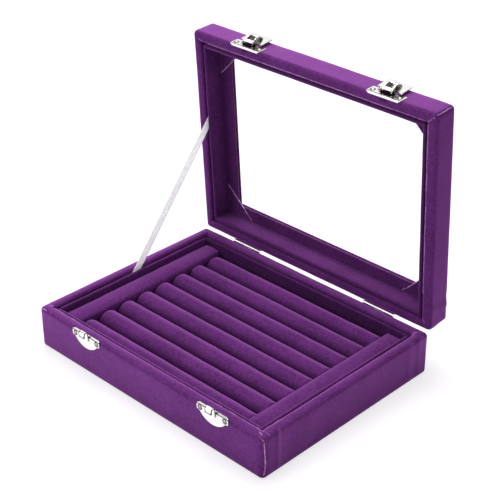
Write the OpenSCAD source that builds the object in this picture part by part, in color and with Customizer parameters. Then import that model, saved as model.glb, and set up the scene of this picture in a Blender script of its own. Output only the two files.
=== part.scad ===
// Velvet ring display box with a hinged glazed lid and two lever latches.
// Frame: X along the long side, Y to the back, Z up; the foot rests on z = 0.
// The lid and its hardware are written shut, then swung open about the hinge line.

/* [Box] */
// Length of the box along X
box_w = 200; // [180:2:240]
// Depth of the box along Y
box_d = 150; // [130:2:180]
// Height of the base up to its rim
base_h = 29; // [27:0.5:40]
// Thickness of the lid from its rim to its outer face
lid_h = 18; // [16:0.5:24]
// Thickness of a finished wall, board and velvet
wall_t = 6.8; // [6:0.1:8]
// Thickness of the glued velvet
velvet_t = 0.9; // [0.6:0.1:1.2]
// Radius of the upright corners
corner_r = 3; // [2.6:0.1:5]
// Radius of the outer edge of both rims and of the lid face
rim_r = 2.3; // [1.5:0.1:2.5]
// Radius of the inner edge of both rims
lip_r = 1.8; // [1.2:0.1:2]
// Radius of the edge round the foot
foot_r = 1.2; // [0.8:0.1:2]
// Air between the two rims when shut
rim_gap = 0.3; // [0.2:0.1:1]
// Angle of the lid from shut to open
lid_open = 86.7; // [60:0.1:95]

/* [Lining] */
// Thickness of a lining board with its velvet
liner_t = 2.2; // [1.6:0.1:3]
// Groove between a wall and its lining board
groove = 1.5; // [1:0.1:2]
// Groove along the front of the base
front_groove = 0.3; // [0.2:0.1:1.5]
// Drop of the base lining below the rim
liner_drop = 1.6; // [0:0.1:3]
// Drop of the lid lining below the rim
lid_liner_drop = 0.5; // [0:0.1:2]
// Depth of velvet turned in behind the rims
turn_in = 9; // [6:0.5:12]
// Width of velvet turned under the foot
turn_under = 14; // [8:1:20]
// Thickness of the foot sheet
foot_t = 0.5; // [0.3:0.1:1]

/* [Insert] */
// Number of ring rolls, one more than the slots
roll_count = 8; // [8:1:10]
// Drop of the roll crests below the rim
roll_drop = 7.1; // [5:0.1:9]
// Rounding at the ends of a roll
roll_end_r = 3.6; // [2:0.2:6]
// Width of the padded bar at each end
bar_w = 14.3; // [8:0.1:24]
// Drop of the end bars below the rim
bar_drop = 5.3; // [3:0.1:10]
// Radius of the long edges of an end bar
bar_r = 3; // [1:0.1:5]
// Radius of the upper edges at the ends of an end bar
bar_end_r = 1.6; // [0.5:0.1:3]

/* [Window] */
// Width of the window in the lid
window_w = 160; // [120:1:164]
// Height of the window in the lid
window_d = 113; // [80:1:114]
// Total thickness of the lid face round the window
face_t = 4; // [3.8:0.1:5]
// Thickness of the pane
glass_t = 1.4; // [1:0.1:1.6]
// Overlap of the pane behind the window edge
glass_hold = 2.8; // [2:0.1:4]
// Reach of the corner patches across the window corners
patch_cut = 4.5; // [2:0.5:8]

/* [Hinges] */
// Distance between the two hinges
hinge_span = 118; // [80:2:140]
// Length of one hinge
hinge_w = 25; // [18:1:30]
// Height of a hinge leaf
leaf_h = 8.5; // [6:0.5:11]
// Thickness of the hinge sheet
leaf_t = 0.45; // [0.4:0.05:0.6]
// Radius of a hinge barrel
barrel_r = 1; // [0.9:0.05:1.1]
// Radius of a hinge pin
pin_r = 0.5; // [0.4:0.05:0.55]
// Hinge line behind the back wall
hinge_out = 0.15; // [0:0.05:0.5]

/* [Latches] */
// Distance between the two latches
latch_span = 113; // [80:1:130]
// Sideways shift of the pair of latches
latch_shift = 4; // [-5:0.5:5]
// Width of a latch plate
plate_w = 25.6; // [22:0.2:30]
// Thickness of the latch sheet
plate_t = 0.5; // [0.4:0.05:0.6]
// Width of the lever
lever_w = 18.4; // [14:0.2:20]
// Length of the lever past its bar
lever_lip = 6.6; // [4.9:0.1:8]
// Height of the lever pin above the lid rim
lever_up = 4.6; // [4.2:0.1:5.4]
// Swing of the lever from folded back to latched
lever_swing = 176; // [150:1:177]
// Width of the keeper hook
hook_w = 5.4; // [3.6:0.2:5.4]
// Reach of the keeper hook in front of the wall
hook_out = 3.8; // [3.4:0.1:3.9]

/* [Ribbon] */
// Width of the lid stay ribbon
ribbon_w = 6; // [4:0.5:10]
// Thickness of the ribbon
ribbon_t = 0.25; // [0.2:0.05:0.5]
// Where the ribbon leaves the base, from the middle
ribbon_base_y = 2.1; // [-20:0.1:20]
// Where the ribbon enters the lid, from the middle
ribbon_lid_y = -8.5; // [-20:0.1:20]
// Length of ribbon glued into each groove
ribbon_tail = 9; // [6:0.5:12]

/* [Show] */
// Node to build

/* [Hidden] */

velvet = [0.36, 0.17, 0.42];
velvet_dark = [0.27, 0.12, 0.32];
card = [0.62, 0.52, 0.4];
fibreboard = [0.6, 0.46, 0.32];
felt = [0.2, 0.1, 0.24];
satin = [0.95, 0.94, 0.96];
steel = [0.78, 0.77, 0.75];
glass = [0.85, 0.92, 0.93, 0.25];

// Clearances
running = 0.05;   // pin in a turning knuckle
side_play = 0.15; // knuckle beside knuckle
seat = 0.1;       // loose fit of an insert
flange_proud = 0.1;
cut = 1;          // overshoot of a cutting body

// Walls and the space inside them
inner_x = box_w / 2 - wall_t;
inner_y = box_d / 2 - wall_t;
board_x = inner_x + velvet_t;
board_y = inner_y + velvet_t;
bed_x = inner_x - groove - liner_t;
bed_y = inner_y - groove - liner_t;

// Levels in the base
floor_t = 2.5;
foot_inset = 4;
tray_h = base_h - foot_t;
floor_z = foot_t + velvet_t + floor_t;
roll_pitch = 2 * bed_y / roll_count;
roll_r = roll_pitch / 2 - 0.05;
roll_z = base_h - roll_drop - roll_r;
roll_l = 2 * (bed_x - seat - bar_w) - 0.4;
insert_min_t = 1.2;  // thinnest insert board
roll_flat = 0.5;     // depth of the flat under a roll
insert_z = max(floor_z + insert_min_t, roll_z - roll_r + roll_flat);

// Levels in the lid, counted from its outer face
lining_t = 1;
face_board_z = face_t - lining_t;
glass_z = face_board_z - glass_t - 0.1;

// Hinge line
hinge_y = box_d / 2 + hinge_out;
hinge_z = base_h + rim_gap / 2;
lid_z = base_h + rim_gap;
knuckle_w = hinge_w / 3;
nail_r = 0.6;
nail_head_r = 1.3;
nail_l = 4.5;

// Latch
front_y = -box_d / 2;
latch_x = [latch_shift - latch_span / 2, latch_shift + latch_span / 2];
keeper_flange = 0.8;
lid_flange = 0.9;
flange_inset = 1.4;
flange_w = plate_w - 2 * flange_inset;
lobe_r = 13.2;
plate_drop = 10.1;
wing_h = 4.6;
wing_r = 0.8;
wing_flare = 0.9;
lid_wing_h = 7.3;
nail_inset = 2.7;
nail_dx = plate_w / 2 - nail_inset;
latch_nail_up = 3.3;
keeper_nail_z = base_h - nail_inset;
latch_nail_z = lid_z + latch_nail_up;
nail_ring_r = 1.7;
lever_pin_out = 3;
lever_pin_y = front_y - lever_pin_out;
lever_pin_z = lid_z + lever_up;
ear_r = 1.3;
hook_t = 0.5;
hook_gap = 0.7;
hook_r = (hook_out - hook_gap) / 2;
hook_clear = 0.35;
hook_bend_z = lever_pin_z - ear_r - hook_clear - hook_r;
hook_tongue = 2.2;
hook_end_z = hook_bend_z - hook_tongue;
hook_root_h = 3.6;
hook_root_t = 1.4;
ear_t = 0.6;
rib_t = 0.6;
rib_x = 3;
ear_x = rib_x + rib_t + 0.3;
lever_t = 0.6;
lever_face_out = 1.1;
lever_in = lever_pin_y - lever_face_out;
lip_out = 0.8;
lip_t = 1.1;
lip_h = 0.6;
bar_slot_drop = 0.7;
bar_slot_h = 1.3;
latch_bar_r = 0.5;
bar_y = front_y - (hook_out + hook_gap) / 2;
bar_z = hook_end_z - 0.5 - latch_bar_r;
lever_tip_z = bar_z - lever_lip;
lever_corner_r = 2.2;
lever_slot_h = 2.2;
lever_slot_gap = 1.7;
knuckle_web = 4.5;
rib_deep = 2.8;
rib_r = 6;
rib_rise = 2.2;
window_up = 1.4;

$fn = 32;

// ---- Shapes shared by the trays ----

// What a rounding of radius r removes from an outside corner at the origin.
module corner_waste(r) {
    difference() {
        square(r + cut);
        circle(r);
    }
}

// Section of the outer edge of a tray, from the corner axis outwards.
module edge_section(h, side_r, low_r, high_r) {
    difference() {
        square([side_r, h]);
        translate([side_r - high_r, h - high_r])
            corner_waste(high_r);
        translate([side_r - low_r, low_r])
            mirror([0, 1])
                corner_waste(low_r);
    }
}

// Block with round upright corners and rounded low and high edges.
module rounded_block(l, w, h, side_r, low_r, high_r) {
    ax = l / 2 - side_r;
    ay = w / 2 - side_r;
    for (mx = [0, 1], my = [0, 1])
        mirror([mx, 0, 0])
            mirror([0, my, 0])
                translate([ax, ay, 0])
                    rotate_extrude(angle = 90)
                        edge_section(h, side_r, low_r, high_r);
    for (m = [0, 1])
        mirror([m, 0, 0])
            translate([ax, ay, 0])
                rotate([90, 0, 0])
                    linear_extrude(2 * ay)
                        edge_section(h, side_r, low_r, high_r);
    for (m = [0, 1])
        mirror([0, m, 0])
            translate([-ax, ay, 0])
                rotate([90, 0, 90])
                    linear_extrude(2 * ax)
                        edge_section(h, side_r, low_r, high_r);
    translate([-ax, -ay, 0])
        cube([2 * ax, 2 * ay, h]);
}

// Section of an opening of half width a whose mouth at height h is rounded by r.
module mouth_section(a, z0, h, r) {
    translate([-a, z0])
        square([2 * a, h + cut - z0]);
    difference() {
        translate([-a - r, h - r])
            square([2 * (a + r), r + cut]);
        for (s = [-1, 1])
            translate([s * (a + r), h - r])
                circle(r);
    }
}

// Rectangular opening with a rounded mouth and mitred corners.
module mouth(a, b, z0, h, r) {
    intersection() {
        translate([0, box_d, 0])
            rotate([90, 0, 0])
                linear_extrude(2 * box_d)
                    mouth_section(a, z0, h, r);
        translate([-box_w, 0, 0])
            rotate([90, 0, 90])
                linear_extrude(2 * box_w)
                    mouth_section(b, z0, h, r);
    }
}

// Plate or slab centred on the axis.
module slab(l, w, z0, z1) {
    translate([-l / 2, -w / 2, z0])
        cube([l, w, z1 - z0]);
}

// Everything that the velvet of a tray is wrapped round.
module board_block(h, low_r) {
    translate([0, 0, velvet_t])
        rounded_block(box_w - 2 * velvet_t, box_d - 2 * velvet_t, h - 2 * velvet_t,
            corner_r - velvet_t, low_r, rim_r - velvet_t);
}

// Ring of wall boards under the velvet of a tray.
module board_ring(h, low_r) {
    difference() {
        board_block(h, low_r);
        mouth(board_x, board_y, 0, h - velvet_t, lip_r - velvet_t);
    }
}

// Velvet over the outside, the rim and a strip of the inside of a tray.
module tray_velvet(h, low_r, board_low_r, open_x, open_y, tuck) {
    difference() {
        rounded_block(box_w, box_d, h, corner_r, low_r, rim_r);
        difference() {
            board_block(h, board_low_r);
            mouth(board_x, board_y, h - tuck, h - velvet_t, lip_r - velvet_t);
        }
        mouth(inner_x, inner_y, h - tuck - cut, h, lip_r);
        slab(2 * open_x, 2 * open_y, -cut, velvet_t + cut);
    }
}

// One board of a ring: side 0 front, 1 back, 2 left, 3 right.
module ring_side(side) {
    s = side % 2 == 0 ? -1 : 1;
    intersection() {
        children();
        if (side < 2)
            translate([0, s * (board_y + box_d / 2), 0])
                slab(2 * box_w, box_d, -cut, base_h + lid_h);
        else
            translate([s * (board_x + box_w / 2), 0, 0])
                slab(box_w, 2 * board_y, -cut, base_h + lid_h);
    }
}

// Section of a lining board: thickness t, both top edges rounded.
module liner_section(t, z0, z1) {
    r = min(t / 2 - 0.1, 0.9);
    difference() {
        translate([0, z0])
            square([t, z1 - z0]);
        translate([t - r, z1 - r])
            corner_waste(r);
        translate([r, z1 - r])
            mirror([1, 0])
                corner_waste(r);
    }
}

// Lining board along the front or back; y is its room-side face, s its side.
module long_liner(s, t, z0, z1) {
    l = 2 * (bed_x + liner_t);
    translate([-l / 2, 0, 0])
        mirror([0, s < 0 ? 1 : 0, 0])
            translate([0, bed_y, 0])
                rotate([90, 0, 90])
                    linear_extrude(l)
                        liner_section(t, z0, z1);
}

// Lining board along the left or right.
module short_liner(s, z0, z1) {
    mirror([s < 0 ? 1 : 0, 0, 0])
        translate([bed_x, bed_y, 0])
            rotate([90, 0, 0])
                linear_extrude(2 * bed_y)
                    liner_section(liner_t, z0, z1);
}

// Moves a tray drawn face down to its place as the shut lid.
module as_lid() {
    translate([0, 0, lid_z + lid_h])
        mirror([0, 0, 1])
            children();
}

// Swings whatever is drawn on the shut lid open about the hinge line.
module swing_lid() {
    translate([0, hinge_y, hinge_z])
        rotate([-lid_open, 0, 0])
            translate([0, -hinge_y, -hinge_z])
                children();
}

// Folds a latched lever back about its pin.
module fold_lever() {
    translate([0, lever_pin_y, lever_pin_z])
        rotate([-lever_swing, 0, 0])
            translate([0, -lever_pin_y, -lever_pin_z])
                children();
}

// Extrudes a Y-Z section over the width w centred on x.
module across(x, w) {
    translate([x - w / 2, 0, 0])
        rotate([90, 0, 90])
            linear_extrude(w)
                children();
}

// Extrudes an X-Z outline forwards from y over the thickness t.
module facing(x, y, t) {
    translate([x, y, 0])
        rotate([90, 0, 0])
            linear_extrude(t)
                children();
}

// Cylinder along X between two positions.
module rod(x0, x1, y, z, r) {
    translate([x0, y, z])
        rotate([0, 90, 0])
            cylinder(h = x1 - x0, r = r);
}

// ---- Nails ----

// Domed nail driven towards +Y; the head rests at y.
module nail(x, y, z) {
    translate([x, y, z])
        rotate([-90, 0, 0]) {
            cylinder(h = nail_l, r = nail_r, $fn = 20);
            intersection() {
                translate([0, 0, nail_head_r * 0.9])
                    sphere(nail_head_r * 1.345, $fn = 24);
                translate([0, 0, -nail_head_r])
                    cylinder(h = nail_head_r, r = nail_head_r, $fn = 24);
            }
        }
}

// Holes for the nails of both keepers.
module keeper_nail_holes() {
    for (x = latch_x, s = [-1, 1])
        translate([x + s * nail_dx, front_y - cut, keeper_nail_z])
            rotate([-90, 0, 0])
                cylinder(h = cut + nail_l, r = nail_r, $fn = 20);
}

// Holes for the nails of both latch plates, on the shut lid.
module latch_nail_holes() {
    for (x = latch_x, s = [-1, 1])
        translate([x + s * nail_dx, front_y - cut, latch_nail_z])
            rotate([-90, 0, 0])
                cylinder(h = cut + nail_l, r = nail_r, $fn = 20);
}

// Places of the nails in one leaf; d is -1 on the base and 1 on the lid.
function leaf_nail_z(d) = hinge_z + d * (leaf_h * 0.58);

// Holes for the hinge nails on one side of the hinge line.
module hinge_nail_holes(d) {
    for (h = [-1, 1], s = [-1, 0, 1])
        translate([h * hinge_span / 2 + s * hinge_w / 3, box_d / 2 + cut, leaf_nail_z(d)])
            rotate([90, 0, 0])
                cylinder(h = cut + nail_l, r = nail_r, $fn = 20);
}

// ---- Base ----

// Shallow seats for the turned-over flanges of the keepers.
module keeper_seats() {
    for (x = latch_x)
        translate([x - flange_w / 2, front_y - cut, base_h + flange_proud - plate_t])
            cube([flange_w, keeper_flange + cut, plate_t + cut]);
}

module base_cover() {
    color(velvet)
        difference() {
            translate([0, 0, foot_t])
                tray_velvet(tray_h, foot_r, 0.3, box_w / 2 - turn_under,
                    box_d / 2 - turn_under, turn_in);
            keeper_seats();
            keeper_nail_holes();
            hinge_nail_holes(-1);
        }
}

// Sheet glued over the turned-in velvet, thicker inside it; the box stands on this.
module foot_sheet() {
    color(felt) {
        slab(box_w - 2 * foot_inset, box_d - 2 * foot_inset, 0, foot_t);
        slab(box_w - 2 * turn_under - 1, box_d - 2 * turn_under - 1, 0, foot_t + velvet_t);
    }
}

module bottom_board() {
    color(fibreboard)
        slab(2 * (board_x - seat), 2 * (board_y - seat), foot_t + velvet_t, floor_z);
}

module base_board(side) {
    color(fibreboard)
        difference() {
            translate([0, 0, foot_t])
                ring_side(side)
                    board_ring(tray_h, 0.3);
            if (side == 0)
                keeper_nail_holes();
            if (side == 1)
                hinge_nail_holes(-1);
        }
}

module base_front_board() {
    base_board(0);
}

module base_back_board() {
    base_board(1);
}

module base_left_board() {
    base_board(2);
}

module base_right_board() {
    base_board(3);
}

module base_front_liner() {
    color(velvet)
        long_liner(-1, liner_t + groove - front_groove, floor_z, base_h - liner_drop);
}

module base_back_liner() {
    color(velvet)
        long_liner(1, liner_t, floor_z, base_h - liner_drop);
}

module base_left_liner() {
    color(velvet)
        short_liner(-1, floor_z, base_h - liner_drop);
}

module base_right_liner() {
    color(velvet)
        short_liner(1, floor_z, base_h - liner_drop);
}

module insert_board() {
    color(card)
        slab(2 * (bed_x - seat), 2 * (bed_y - seat), floor_z, insert_z);
}

// Half section of a roll, turned about its own long axis.
module roll_half() {
    difference() {
        square([roll_r, roll_l]);
        translate([roll_r - roll_end_r, roll_l - roll_end_r])
            corner_waste(roll_end_r);
        translate([roll_r - roll_end_r, roll_end_r])
            mirror([0, 1])
                corner_waste(roll_end_r);
    }
}

// Padded roll n, counted from the front; its underside is glued flat.
module ring_roll(n) {
    color(velvet)
        intersection() {
            translate([-roll_l / 2, -bed_y + roll_pitch * (n - 0.5), roll_z])
                rotate([0, 90, 0])
                    rotate_extrude($fn = 40)
                        roll_half();
            slab(box_w, box_d, insert_z, base_h);
        }
}

module ring_roll_1() {
    ring_roll(1);
}

module ring_roll_2() {
    ring_roll(2);
}

module ring_roll_3() {
    ring_roll(3);
}

module ring_roll_4() {
    ring_roll(4);
}

module ring_roll_5() {
    ring_roll(5);
}

module ring_roll_6() {
    ring_roll(6);
}

module ring_roll_7() {
    ring_roll(7);
}

// Any rolls past the eighth are kept with it.
module ring_roll_8() {
    for (n = [8 : roll_count])
        ring_roll(n);
}

// Section of an end bar: flat sides, both upper edges rounded.
module bar_section(w, h, r) {
    difference() {
        square([w, h]);
        translate([w - r, h - r])
            corner_waste(r);
        translate([r, h - r])
            mirror([1, 0])
                corner_waste(r);
    }
}

module end_bar(s) {
    h = base_h - bar_drop - insert_z;
    l = 2 * (bed_y - seat);
    color(velvet)
        mirror([s < 0 ? 1 : 0, 0, 0])
            translate([bed_x - seat - bar_w, 0, insert_z])
                intersection() {
                    translate([0, l / 2, 0])
                        rotate([90, 0, 0])
                            linear_extrude(l)
                                bar_section(bar_w, h, bar_r);
                    translate([0, -l / 2, 0])
                        rotate([90, 0, 90])
                            linear_extrude(bar_w)
                                bar_section(l, h, bar_end_r);
                }
}

module left_end_bar() {
    end_bar(-1);
}

module right_end_bar() {
    end_bar(1);
}

// ---- Lid, drawn face down and then placed ----

// Shallow seats for the turned-over flanges of the latch plates, on the shut lid.
module latch_seats() {
    for (x = latch_x)
        translate([x - flange_w / 2, front_y - cut, lid_z - cut])
            cube([flange_w, lid_flange + cut, cut + plate_t - flange_proud]);
}

module lid_cover() {
    edge_z = glass_z - 0.1;
    color(velvet)
        swing_lid()
            difference() {
                as_lid() {
                    tray_velvet(lid_h, rim_r, rim_r - velvet_t, window_w / 2, window_d / 2,
                        turn_in);
                    difference() {
                        slab(window_w + 2 * velvet_t, window_d + 2 * velvet_t, 0, edge_z);
                        slab(window_w, window_d, -cut, edge_z + cut);
                    }
                }
                latch_seats();
                latch_nail_holes();
                hinge_nail_holes(1);
            }
}

module lid_face_board() {
    color(fibreboard)
        swing_lid()
            as_lid()
                difference() {
                    slab(2 * (board_x - seat), 2 * (board_y - seat), velvet_t, face_board_z);
                    slab(window_w + 2 * velvet_t, window_d + 2 * velvet_t, 0, face_t);
                    slab(window_w + 2 * glass_hold + 0.6, window_d + 2 * glass_hold + 0.6,
                        glass_z - 0.1, face_t);
                }
}

module glass_pane() {
    color(glass)
        swing_lid()
            as_lid()
                slab(window_w + 2 * glass_hold, window_d + 2 * glass_hold,
                    glass_z, glass_z + glass_t);
}

module window_lining() {
    color(velvet)
        swing_lid()
            as_lid()
                difference() {
                    slab(2 * (board_x - seat), 2 * (board_y - seat), face_board_z, face_t);
                    mouth(window_w / 2, window_d / 2, 0, face_t, 0.5);
                }
}

// Triangular velvet patches set across the corners of the window.
module corner_patches() {
    px = bed_x - seat;
    py = bed_y - seat;
    sum = window_w / 2 + window_d / 2 - patch_cut;
    color(velvet_dark)
        swing_lid()
            as_lid()
                for (mx = [0, 1], my = [0, 1])
                    mirror([mx, 0, 0])
                        mirror([0, my, 0])
                            translate([0, 0, face_t])
                                linear_extrude(0.4)
                                    polygon([[px, py], [px, sum - px], [sum - py, py]]);
}

module lid_board(side) {
    color(fibreboard)
        swing_lid()
            difference() {
                as_lid()
                    ring_side(side)
                        board_ring(lid_h, rim_r - velvet_t);
                if (side == 0)
                    latch_nail_holes();
                if (side == 1)
                    hinge_nail_holes(1);
            }
}

module lid_front_board() {
    lid_board(0);
}

module lid_back_board() {
    lid_board(1);
}

module lid_left_board() {
    lid_board(2);
}

module lid_right_board() {
    lid_board(3);
}

module lid_front_liner() {
    color(velvet)
        swing_lid()
            as_lid()
                long_liner(-1, liner_t, face_t, lid_h - lid_liner_drop);
}

module lid_back_liner() {
    color(velvet)
        swing_lid()
            as_lid()
                long_liner(1, liner_t, face_t, lid_h - lid_liner_drop);
}

module lid_left_liner() {
    color(velvet)
        swing_lid()
            as_lid()
                short_liner(-1, face_t, lid_h - lid_liner_drop);
}

module lid_right_liner() {
    color(velvet)
        swing_lid()
            as_lid()
                short_liner(1, face_t, lid_h - lid_liner_drop);
}

// ---- Hinges ----

// Leaf of one hinge. d = -1: base leaf with the two outer knuckles;
// d = 1: lid leaf with the middle knuckle.
module hinge_leaf(x, d) {
    back = box_d / 2;
    far = hinge_z + d * leaf_h;
    low = min(far, hinge_z);
    free = barrel_r + 0.25;
    deep = 2 * (cut + barrel_r);
    difference() {
        union() {
            translate([x - hinge_w / 2, back, low])
                cube([hinge_w, leaf_t, leaf_h]);
            if (d < 0)
                for (s = [-1, 1])
                    rod(x + s * knuckle_w - knuckle_w / 2, x + s * knuckle_w + knuckle_w / 2,
                        hinge_y, hinge_z, barrel_r);
            else
                rod(x - knuckle_w / 2 + side_play, x + knuckle_w / 2 - side_play,
                    hinge_y, hinge_z, barrel_r);
        }
        if (d < 0)
            translate([x - knuckle_w / 2 - side_play / 2, back - cut, hinge_z - free])
                cube([knuckle_w + side_play, deep, 2 * free]);
        else
            for (s = [-1, 1])
                translate([x + s * knuckle_w - knuckle_w / 2 - side_play, back - cut,
                    hinge_z - free])
                    cube([knuckle_w + 2 * side_play, deep, 2 * free]);
        rod(x - hinge_w, x + hinge_w, hinge_y, hinge_z, pin_r + (d < 0 ? 0 : running));
        for (s = [-1, 0, 1])
            translate([x + s * hinge_w / 3, back - cut, leaf_nail_z(d)])
                rotate([-90, 0, 0])
                    cylinder(h = deep, r = nail_r, $fn = 20);
    }
}

module left_hinge_base_leaf() {
    color(steel)
        hinge_leaf(-hinge_span / 2, -1);
}

module right_hinge_base_leaf() {
    color(steel)
        hinge_leaf(hinge_span / 2, -1);
}

module left_hinge_lid_leaf() {
    color(steel)
        swing_lid()
            hinge_leaf(-hinge_span / 2, 1);
}

module right_hinge_lid_leaf() {
    color(steel)
        swing_lid()
            hinge_leaf(hinge_span / 2, 1);
}

module hinge_pins() {
    color(steel)
        for (s = [-1, 1])
            rod(s * hinge_span / 2 - hinge_w / 2, s * hinge_span / 2 + hinge_w / 2,
                hinge_y, hinge_z, pin_r);
}

// Nails of the leaves on one side of the hinge line.
module leaf_nails(d) {
    for (h = [-1, 1], s = [-1, 0, 1])
        mirror([0, 1, 0])
            nail(h * hinge_span / 2 + s * hinge_w / 3, -box_d / 2 - leaf_t, leaf_nail_z(d));
}

module hinge_base_nails() {
    color(steel)
        leaf_nails(-1);
}

module hinge_lid_nails() {
    color(steel)
        swing_lid()
            leaf_nails(1);
}

// ---- Keepers on the base ----

// Half width of the lobe of a plate at the depth d.
function lobe_x(d) = sqrt(pow(lobe_r, 2) - pow(d - plate_drop + lobe_r, 2));

// Outline of a plate: straight edge at z = 0, two wings and a round lobe between them.
module plate_outline(wing) {
    difference() {
        union() {
            translate([-plate_w / 2, -wing])
                square([plate_w, wing]);
            intersection() {
                translate([0, lobe_r - plate_drop])
                    circle(lobe_r, $fn = 96);
                translate([-lobe_x(wing), -plate_drop - cut])
                    square([2 * lobe_x(wing), plate_drop]);
            }
            for (s = [-1, 1])
                polygon([
                    [s * (lobe_x(wing) - wing_r), -wing + wing_r / 2],
                    [s * (lobe_x(wing) + wing_flare), -wing],
                    [s * (lobe_x(wing + wing_flare) - plate_t / 2), -wing - wing_flare]
                ]);
        }
        for (s = [-1, 1])
            mirror([s < 0 ? 1 : 0, 0]) {
                translate([plate_w / 2 - wing_r, wing_r - wing])
                    mirror([0, 1])
                        corner_waste(wing_r);
                translate([plate_w / 2 - wing_r, -wing_r])
                    corner_waste(wing_r);
            }
    }
}

// Hole and coined ring for one nail of a plate, cut from the front.
module nail_seat(x, z) {
    translate([x, front_y + cut, z])
        rotate([90, 0, 0]) {
            cylinder(h = 2 * cut + plate_t, r = nail_r, $fn = 20);
            translate([0, 0, cut + plate_t - 0.2])
                difference() {
                    cylinder(h = cut, r = nail_ring_r);
                    translate([0, 0, -cut])
                        cylinder(h = 3 * cut, r = nail_head_r - 0.1);
                }
        }
}

// Section of the keeper hook: out from the plate, up, over the rim, and down to a free end.
module hook_section() {
    back = front_y - hook_gap;
    yc = back - hook_r;
    foot_z = base_h - hook_root_h;
    translate([back - hook_t, foot_z])
        square([hook_t, hook_bend_z - foot_z]);
    translate([back - hook_t, foot_z])
        square([hook_gap + hook_t / 2, hook_root_t]);
    translate([yc - hook_r, hook_end_z])
        square([hook_t, hook_bend_z - hook_end_z]);
    intersection() {
        difference() {
            translate([yc, hook_bend_z])
                circle(hook_r);
            translate([yc, hook_bend_z])
                circle(hook_r - hook_t);
        }
        translate([yc - hook_r - cut, hook_bend_z])
            square([2 * (hook_r + cut), hook_r + cut]);
    }
}

module keeper(x) {
    top = base_h + flange_proud;
    difference() {
        union() {
            translate([0, 0, top])
                facing(x, front_y, plate_t)
                    plate_outline(wing_h);
            translate([x - flange_w / 2, front_y - plate_t, top - plate_t])
                cube([flange_w, plate_t + keeper_flange, plate_t]);
        }
        for (s = [-1, 1])
            nail_seat(x + s * nail_dx, keeper_nail_z);
    }
    across(x, hook_w)
        hook_section();
}

module left_keeper() {
    color(steel)
        keeper(latch_x[0]);
}

module right_keeper() {
    color(steel)
        keeper(latch_x[1]);
}

module keeper_nails() {
    color(steel)
        for (x = latch_x, s = [-1, 1])
            nail(x + s * nail_dx, front_y - plate_t, keeper_nail_z);
}

// ---- Latches on the lid, drawn on the shut lid ----

// Section of one ear that carries the lever pin.
module ear_section() {
    difference() {
        union() {
            translate([lever_pin_y, lever_pin_z - ear_r])
                square([front_y - plate_t / 2 - lever_pin_y, 2 * ear_r]);
            translate([lever_pin_y, lever_pin_z])
                circle(ear_r);
        }
        translate([lever_pin_y, lever_pin_z])
            circle(pin_r);
    }
}

module latch_plate(x) {
    low = lid_z - flange_proud;
    window_low = lid_z + window_up;
    difference() {
        union() {
            translate([0, 0, low])
                facing(x, front_y, plate_t)
                    mirror([0, 1])
                        plate_outline(lid_wing_h);
            translate([x - flange_w / 2, front_y - plate_t, low])
                cube([flange_w, plate_t + lid_flange, plate_t]);
        }
        translate([x - ear_x, front_y - cut, window_low])
            cube([2 * ear_x, 2 * cut, lever_pin_z + ear_r - window_low]);
        for (s = [-1, 1])
            nail_seat(x + s * nail_dx, latch_nail_z);
    }
    for (s = [-1, 1])
        across(x + s * (ear_x + ear_t / 2), ear_t)
            ear_section();
}

module left_latch_plate() {
    color(steel)
        swing_lid()
            latch_plate(latch_x[0]);
}

module right_latch_plate() {
    color(steel)
        swing_lid()
            latch_plate(latch_x[1]);
}

module latch_nails() {
    color(steel)
        swing_lid()
            for (x = latch_x, s = [-1, 1])
                nail(x + s * nail_dx, front_y - plate_t, latch_nail_z);
}

module lever_pins() {
    half = ear_x + ear_t + 0.2;
    color(steel)
        swing_lid()
            for (x = latch_x)
                rod(x - half, x + half, lever_pin_y, lever_pin_z, pin_r);
}

// Section of one rib of the lever, as latched: a round fin that reaches in to the bar.
module rib_section() {
    mid_z = bar_z + rib_rise;
    intersection() {
        translate([lever_in + rib_deep - rib_r, mid_z])
            circle(rib_r, $fn = 96);
        translate([lever_in - lever_t / 2, lever_tip_z + lever_t])
            square([rib_deep + lever_t, rib_r + mid_z - lever_tip_z]);
    }
    translate([lever_in - lever_t / 2, lever_pin_z - knuckle_web])
        square([lever_pin_y - lever_in + lever_t / 2, knuckle_web]);
}

// Lever: flat plate with a slot, a knuckle on its pin, two ribs and the bar between them.
module lever(x) {
    shoulder_z = lever_pin_z - ear_r - lever_t;
    r = lever_corner_r;
    slot_w = 2 * (rib_x - rib_t);
    difference() {
        union() {
            facing(x, lever_in, lever_t) {
                difference() {
                    translate([-lever_w / 2, lever_tip_z])
                        square([lever_w, shoulder_z - lever_tip_z]);
                    for (s = [-1, 1])
                        translate([s * (lever_w / 2 - r), lever_tip_z + r])
                            mirror([s < 0 ? 1 : 0, 0])
                                mirror([0, 1])
                                    corner_waste(r);
                    translate([-slot_w / 2, bar_z - bar_slot_drop])
                        square([slot_w, bar_slot_h]);
                    translate([-slot_w / 2, bar_z - lever_slot_gap - lever_slot_h])
                        square([slot_w, lever_slot_h]);
                }
                translate([-rib_x - rib_t, shoulder_z - 0.1])
                    square([2 * (rib_x + rib_t), lever_pin_z - shoulder_z + 0.1]);
            }
            for (s = [-1, 1])
                across(x + s * (rib_x + rib_t / 2), rib_t)
                    rib_section();
            rod(x - rib_x - rib_t, x + rib_x + rib_t, lever_pin_y, lever_pin_z, ear_r);
            rod(x - rib_x - rib_t / 2, x + rib_x + rib_t / 2, bar_y, bar_z, latch_bar_r);
            translate([x - lever_w / 2 + r, lever_in - lever_t - lip_out, lever_tip_z])
                cube([lever_w - 2 * r, lip_t, lip_h]);
        }
        rod(x - ear_x, x + ear_x, lever_pin_y, lever_pin_z, pin_r + running);
    }
}

module left_lever() {
    color(steel)
        swing_lid()
            fold_lever()
                lever(latch_x[0]);
}

module right_lever() {
    color(steel)
        swing_lid()
            fold_lever()
                lever(latch_x[1]);
}

// ---- Stay ribbon ----

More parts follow.
